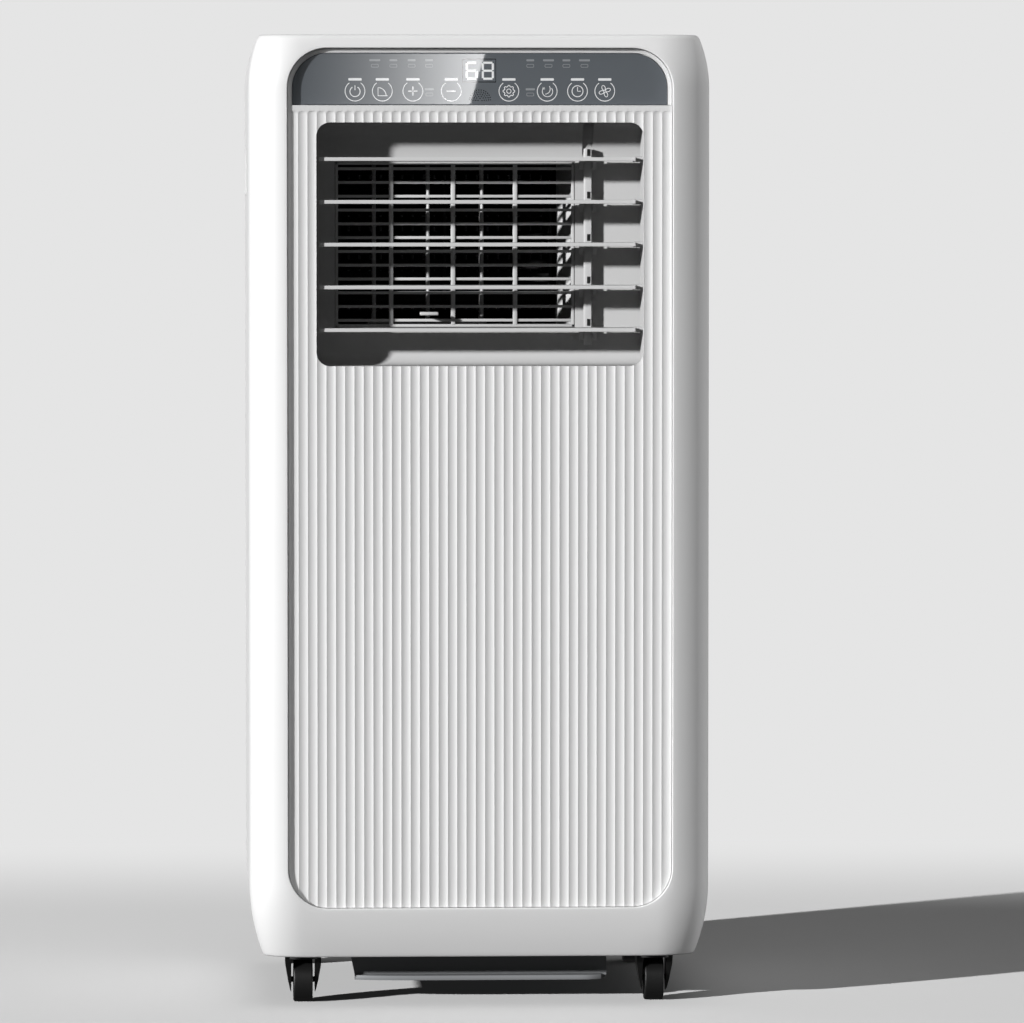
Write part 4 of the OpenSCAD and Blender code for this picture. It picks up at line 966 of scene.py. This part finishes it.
def build_vane(i):
    """An upright vane with rounded long edges, its pins, a foot block and, in the middle, the tab."""
    low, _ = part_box("vane_%d" % i)
    pivot = Vector(JOINTS["vane_%d_yaw" % i]["pos_m"])
    t, half_depth, pin_r = 2.3 * MM, 11 * MM, 1.5 * MM
    z0, z1 = 478.5 * MM, 582 * MM
    pin_z0, pin_z1, pin_clear = 468.8 * MM, 588.4 * MM, 470 * MM
    tie_y, tie_z0, tie_z1 = pivot.y + 13 * MM, 472 * MM, 480 * MM
    bm = bmesh.new()
    plan = [(pivot.x + x, pivot.y + y) for x, y in rounded_rect(0, 0, t, 2 * half_depth, 1.1 * MM, 5)]
    loft(bm, [[(x, y, z) for x, y in plan] for z in (z0, z1)], cap_start=True, cap_end=True)
    rod_mesh(bm, 2, (pivot.x, pivot.y), pin_r, pin_z0, pin_z1)
    rod_mesh(bm, 2, (pivot.x, tie_y), pin_r, low.z if low.z > pin_clear else tie_z0, tie_z1)
    box_mesh(bm, (pivot.x - t / 2, pivot.y + 8 * MM, z0),
             (pivot.x + t / 2, pivot.y + 14.5 * MM, z0 + 3 * MM), 0.3 * MM)
    if i == 2:
        z = 480.6 * MM
        box_mesh(bm, (pivot.x - 1.5 * MM, low.y + 7 * MM, z - 1.1 * MM),
                 (pivot.x + 1.5 * MM, pivot.y - 5 * MM, z + 1.1 * MM), 0.3 * MM)
        box_mesh(bm, (pivot.x - 6.5 * MM, low.y, z - 1.2 * MM),
                 (pivot.x + 6.5 * MM, low.y + 7.5 * MM, z + 1.2 * MM), 0.8 * MM, 3)
    return finish_mesh(from_bmesh("vane_blade_%d" % i, bm), "vane_%d" % i, "outlet_white", ["vane_%d" % i])


# ---------- base ----------


PAN_Z, PAN_W, PAN_D, PAN_R = 38 * MM, 295 * MM, 276 * MM, 20 * MM
TRAY_X, TRAY_FRONT, TRAY_BACK, TRAY_Z = 90.3 * MM, -101 * MM, 90 * MM, 14 * MM
TRAY_WALL, TRAY_R, TRAY_SLOPE = 2.5 * MM, 4 * MM, 4 * MM
LIP_STEPS, LIP_BULGE = 32, 10 * MM
RIB_XS = [(21.3 * i + 6) * MM for i in range(-3, 4)]
COMPRESSOR, STAND_RING = (-85 * MM, -52 * MM), 56 * MM


def tray_outline(grow, rise=0.0):
    """The tray from the front, open to the pan above; rise lifts its upper edge."""
    top = PAN_Z + 1 * MM + rise
    pts = [(TRAY_X + grow, top), (-TRAY_X - grow, top)]
    r, z = TRAY_R + grow, TRAY_Z + TRAY_R
    for x, angles in ((-TRAY_X + TRAY_SLOPE + TRAY_R, range(190, 271, 16)),
                      (TRAY_X - TRAY_R, range(270, 361, 18))):
        pts += [(x + r * math.cos(math.radians(a)), z + r * math.sin(math.radians(a))) for a in angles]
    return pts


def tray_lip():
    """Rings of the bulging lip along the tray's lower front edge, thinning out towards its ends."""
    x0, x1, y0 = -TRAY_X + TRAY_SLOPE, TRAY_X - TRAY_SLOPE, TRAY_FRONT + 1 * MM
    rings = []
    for x in spread(x0, x1, LIP_STEPS):
        edge = min(1.0, (TRAY_X - x) / (16 * MM), (TRAY_X + x) / (60 * MM))
        y = y0 - LIP_BULGE * math.sqrt(max(0.0, 1 - (1 - edge) ** 2))
        rings.append([(x, y - out * MM, TRAY_Z + up * MM)
                      for out, up in ((0, 0.2), (0.35, 1.0), (0.35, 2.6), (0, 3.4))]
                     + [(x, y0, TRAY_Z + 3.5 * MM), (x, y0, TRAY_Z + 0.1 * MM)])
    return rings


def build_base():
    """The pan under the machine with its rim, the ribbed tray below it and the stands inside."""
    _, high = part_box("base_pan")

    def rod(name, axis, centre, r, a, b, **shape):
        bm = bmesh.new()
        rod_mesh(bm, axis, centre, r, a, b, **shape)
        return from_bmesh(name, bm)

    bm = bmesh.new()
    loops = []
    for up, grow in ((0, -1.0), (0.4, -0.3), (1.2, 0), (25.5, 0), (26, -0.4), (26, -2.1), (25.5, -2.5),
                     (3, -2.5)):
        plan = rounded_rect(0, 0, PAN_W + 2 * grow * MM, PAN_D + 2 * grow * MM, PAN_R + grow * MM, 10)
        loops.append([(x, y, PAN_Z + up * MM) for x, y in plan])
    loft(bm, loops, cap_start=True, cap_end=True)
    pan = from_bmesh("base_pan_body", bm)
    tray = prism_y("tray", tray_outline(0), TRAY_FRONT, TRAY_BACK)
    hollow = prism_y("hollow", tray_outline(-TRAY_WALL, 8 * MM), TRAY_FRONT + TRAY_WALL,
                     TRAY_BACK - TRAY_WALL)
    cut(pan, [tray], "UNION")
    cut(pan, [hollow])
    _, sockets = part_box("caster_sockets")
    for sx in (-1, 1):
        for sy in (-1, 1):
            centre = (sx * (sockets.x - 16 * MM), sy * (sockets.y - 16 * MM))
            cut(pan, [rod("stem_hole", 2, centre, 9.3 * MM, PAN_Z - 2 * MM, PAN_Z + 6 * MM, bevel=0.1 * MM)])
    bm = bmesh.new()
    bm.from_mesh(pan.data)
    loft(bm, tray_lip(), cap_start=True, cap_end=True)
    for x in RIB_XS:
        box_mesh(bm, (x - 0.8 * MM, TRAY_FRONT - 7.5 * MM, TRAY_Z + 3 * MM),
                 (x + 0.8 * MM, TRAY_FRONT + 1 * MM, PAN_Z + 1 * MM), 0.3 * MM)
    for angle, z in ((90, PAN_Z), (330, TRAY_Z)):
        a = math.radians(angle)
        centre = (COMPRESSOR[0] + STAND_RING * math.cos(a), COMPRESSOR[1] + STAND_RING * math.sin(a))
        rod_mesh(bm, 2, centre, 10 * MM, z + 1 * MM, PAN_Z + 3 * MM)
    for x in (-100 * MM, 100 * MM):
        box_mesh(bm, (x - 6 * MM, 91 * MM, PAN_Z + 2 * MM), (x + 6 * MM, 121 * MM, 78 * MM), 0.4 * MM)
    bpy.data.objects.remove(pan)
    obj = from_bmesh("base_tray", bm)
    low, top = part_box("drain_plug_lower")
    drain = ((low.x + top.x) / 2, (low.z + top.z) / 2)
    cut(obj, [rod("boss", 1, drain, 9 * MM, PAN_D / 2 - 3 * MM, high.y, steps=40)], "UNION")
    cut(obj, [rod("plug_hole", 1, drain, 6 * MM, PAN_D / 2 - 8 * MM, high.y + 1 * MM, steps=40)])
    return finish_mesh(obj, "cabinet", "inner_grey", ["base_pan"])


build_front_shell()
build_rear_cover()
build_top_cover()
build_panel()
glass = build_glass()
glass_print = build_print()
build_duct()
build_grille()
for i in LOUVRES:
    build_louvre(i)
build_link()
for i in VANES:
    build_vane(i)
build_base()

# ---------- studio ----------

SUN_TRAVEL = Vector((1.33, 1.0, -0.414))


def collection_of(name, objects):
    group = bpy.data.collections.new(name)
    for o in objects:
        group.objects.link(o)
    return group


def sun(name, travel, strength, angle_deg):
    data = bpy.data.lights.new(name, "SUN")
    data.energy = strength
    data.angle = math.radians(angle_deg)
    light = bpy.data.objects.new(name, data)
    light.rotation_euler = Vector(travel).to_track_quat("-Z", "Y").to_euler()
    scene.collection.objects.link(light)
    return light


def build_floor():
    """One seamless sweep: floor, a wide bend and an upright backdrop that fades into even white."""
    front_y, bend_y, bend_r, top_z, half_w = -8.0, 7.5, 1.5, 7.0, 9.0
    profile = [(front_y, 0.0), (0.0, 0.0), (0.6, 0.0), (bend_y, 0.0)]
    for k in range(1, 25):
        a = math.radians(90 * k / 24)
        profile.append((bend_y + bend_r * math.sin(a), bend_r - bend_r * math.cos(a)))
    profile.append((bend_y + bend_r, top_z))
    bm = bmesh.new()
    loft(bm, [[(x, y, z) for y, z in profile] for x in (-half_w, 0.0, half_w)], close=False)
    obj = from_bmesh("studio_sweep", bm)
    obj.data.shade_smooth()
    mat = bpy.data.materials.new("studio_paper")
    mat.use_nodes = True
    nodes, links = mat.node_tree.nodes, mat.node_tree.links
    shader = nodes["Principled BSDF"]
    shader.inputs["Base Color"].default_value = (0.6, 0.6, 0.6, 1)
    shader.inputs["Roughness"].default_value = 0.9
    shader.inputs["Specular IOR Level"].default_value = 0.0
    glow = add_node(mat, "Emission", Color=(1, 1, 1, 1), Strength=0.783)
    coords = add_node(mat, "TexCoord")
    split = add_node(mat, "SeparateXYZ")
    links.new(coords.outputs["Object"], split.inputs["Vector"])
    fade = add_node(mat, "MapRange", From_Min=0.45, From_Max=1.05)
    fade.interpolation_type = "SMOOTHSTEP"
    links.new(split.outputs["Y"], fade.inputs["Value"])
    mix = add_node(mat, "MixShader")
    links.new(fade.outputs["Result"], mix.inputs["Fac"])
    links.new(shader.outputs["BSDF"], mix.inputs[1])
    links.new(glow.outputs["Emission"], mix.inputs[2])
    links.new(mix.outputs["Shader"], nodes["Material Output"].inputs["Surface"])
    obj.data.materials.append(mat)
    obj.visible_diffuse = False
    obj.visible_glossy = False
    obj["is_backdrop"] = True
    return obj


def math_node(mat, operation, source, amount):
    """Applies one sum to a node's output."""
    node = add_node(mat, "Math")
    node.operation = operation
    node.inputs[1].default_value = amount
    mat.node_tree.links.new(source, node.inputs[0])
    return node.outputs["Value"]


def build_glass_reflection():
    """A slanted bright card that only the glass and its print mirror, brighter towards its right edge."""
    y, left, z_low, z_high = -1.6415, -0.12, 0.55, 0.80
    edge_x, edge_z, lean = 0.0548, 0.6397, 0.29
    bright_x, falloff, strength = 0.06, 2.2, 15.0
    bm = bmesh.new()
    corners = [(left, z_low), (edge_x + (z_low - edge_z) * lean, z_low),
               (edge_x + (z_high - edge_z) * lean, z_high), (left, z_high)]
    bm.faces.new([bm.verts.new((x, y, z)) for x, z in corners])
    obj = from_bmesh("reflection_card", bm)
    mat = bpy.data.materials.new("reflection_glow")
    mat.use_nodes = True
    nodes, links = mat.node_tree.nodes, mat.node_tree.links
    nodes.remove(nodes["Principled BSDF"])
    glow = add_node(mat, "Emission")
    coords = add_node(mat, "TexCoord")
    split = add_node(mat, "SeparateXYZ")
    links.new(coords.outputs["Object"], split.inputs["Vector"])
    ramp = add_node(mat, "MapRange", From_Min=left, From_Max=bright_x)
    links.new(split.outputs["X"], ramp.inputs["Value"])
    curve = math_node(mat, "POWER", ramp.outputs["Result"], falloff)
    links.new(math_node(mat, "MULTIPLY", curve, strength), glow.inputs["Strength"])
    links.new(glow.outputs["Emission"], nodes["Material Output"].inputs["Surface"])
    obj.data.materials.append(mat)
    obj.visible_camera = False
    obj.visible_diffuse = False
    obj.visible_transmission = False
    obj.visible_shadow = False
    obj.light_linking.receiver_collection = collection_of("lit_glass", [glass] + glass_print)
    obj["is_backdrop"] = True
    return obj


# Every sun lights one group only: the outside, the parts set back in the outlet, or the floor.
RECESSED = ("louvre", "vane", "blower", "outlet", "base_pan", "base_tray")
pieces = [o for o in scene.objects if o.type == "MESH"]
floor = build_floor()
build_glass_reflection()
on_recessed = collection_of("lit_recessed", [o for o in pieces if o.name.startswith(RECESSED)])
on_outside = collection_of("lit_outside", [o for o in pieces if not o.name.startswith(RECESSED)])
on_floor = collection_of("lit_floor", [floor])
for name, travel, strength, angle_deg, receivers in (
        ("key", SUN_TRAVEL, 2.60, 1.0, on_outside),
        ("recess_key", SUN_TRAVEL, 3.6, 3.0, on_recessed),
        ("recess_bounce", SUN_TRAVEL, 0.08, 3.0, on_recessed),
        ("floor_key", SUN_TRAVEL, 10.2, 1.0, on_floor),
        ("floor_fill", (-0.6, 0.0, -1.0), 0.45, 90, on_floor),
        ("left_fill", (1.0, 0.30, -0.2), 1.6, 70, on_outside),
        ("right_fill", (-1.0, -0.30, -0.2), 1.35, 80, on_outside),
        ("top_fill", (0.0, 0.4, -0.9), 0.7, 90, on_outside)):
    light = sun(name, travel, strength, angle_deg)
    light.light_linking.receiver_collection = receivers
    if name == "recess_key":
        light.data.cycles.max_bounces = 0

world = bpy.data.worlds.new("studio")
scene.world = world
world.use_nodes = True
world.node_tree.nodes["Background"].inputs["Color"].default_value = (1, 1, 1, 1)
world.node_tree.nodes["Background"].inputs["Strength"].default_value = 0.06

# ---------- sizes ----------


def plain(value):
    if isinstance(value, (int, float, str, bool)) or value is None:
        return value
    if isinstance(value, dict):
        return {str(k): plain(v) for k, v in value.items()}
    return [plain(v) for v in value]


{"at_load": plain(bounds_at_load), "at_finish": plain(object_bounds())}
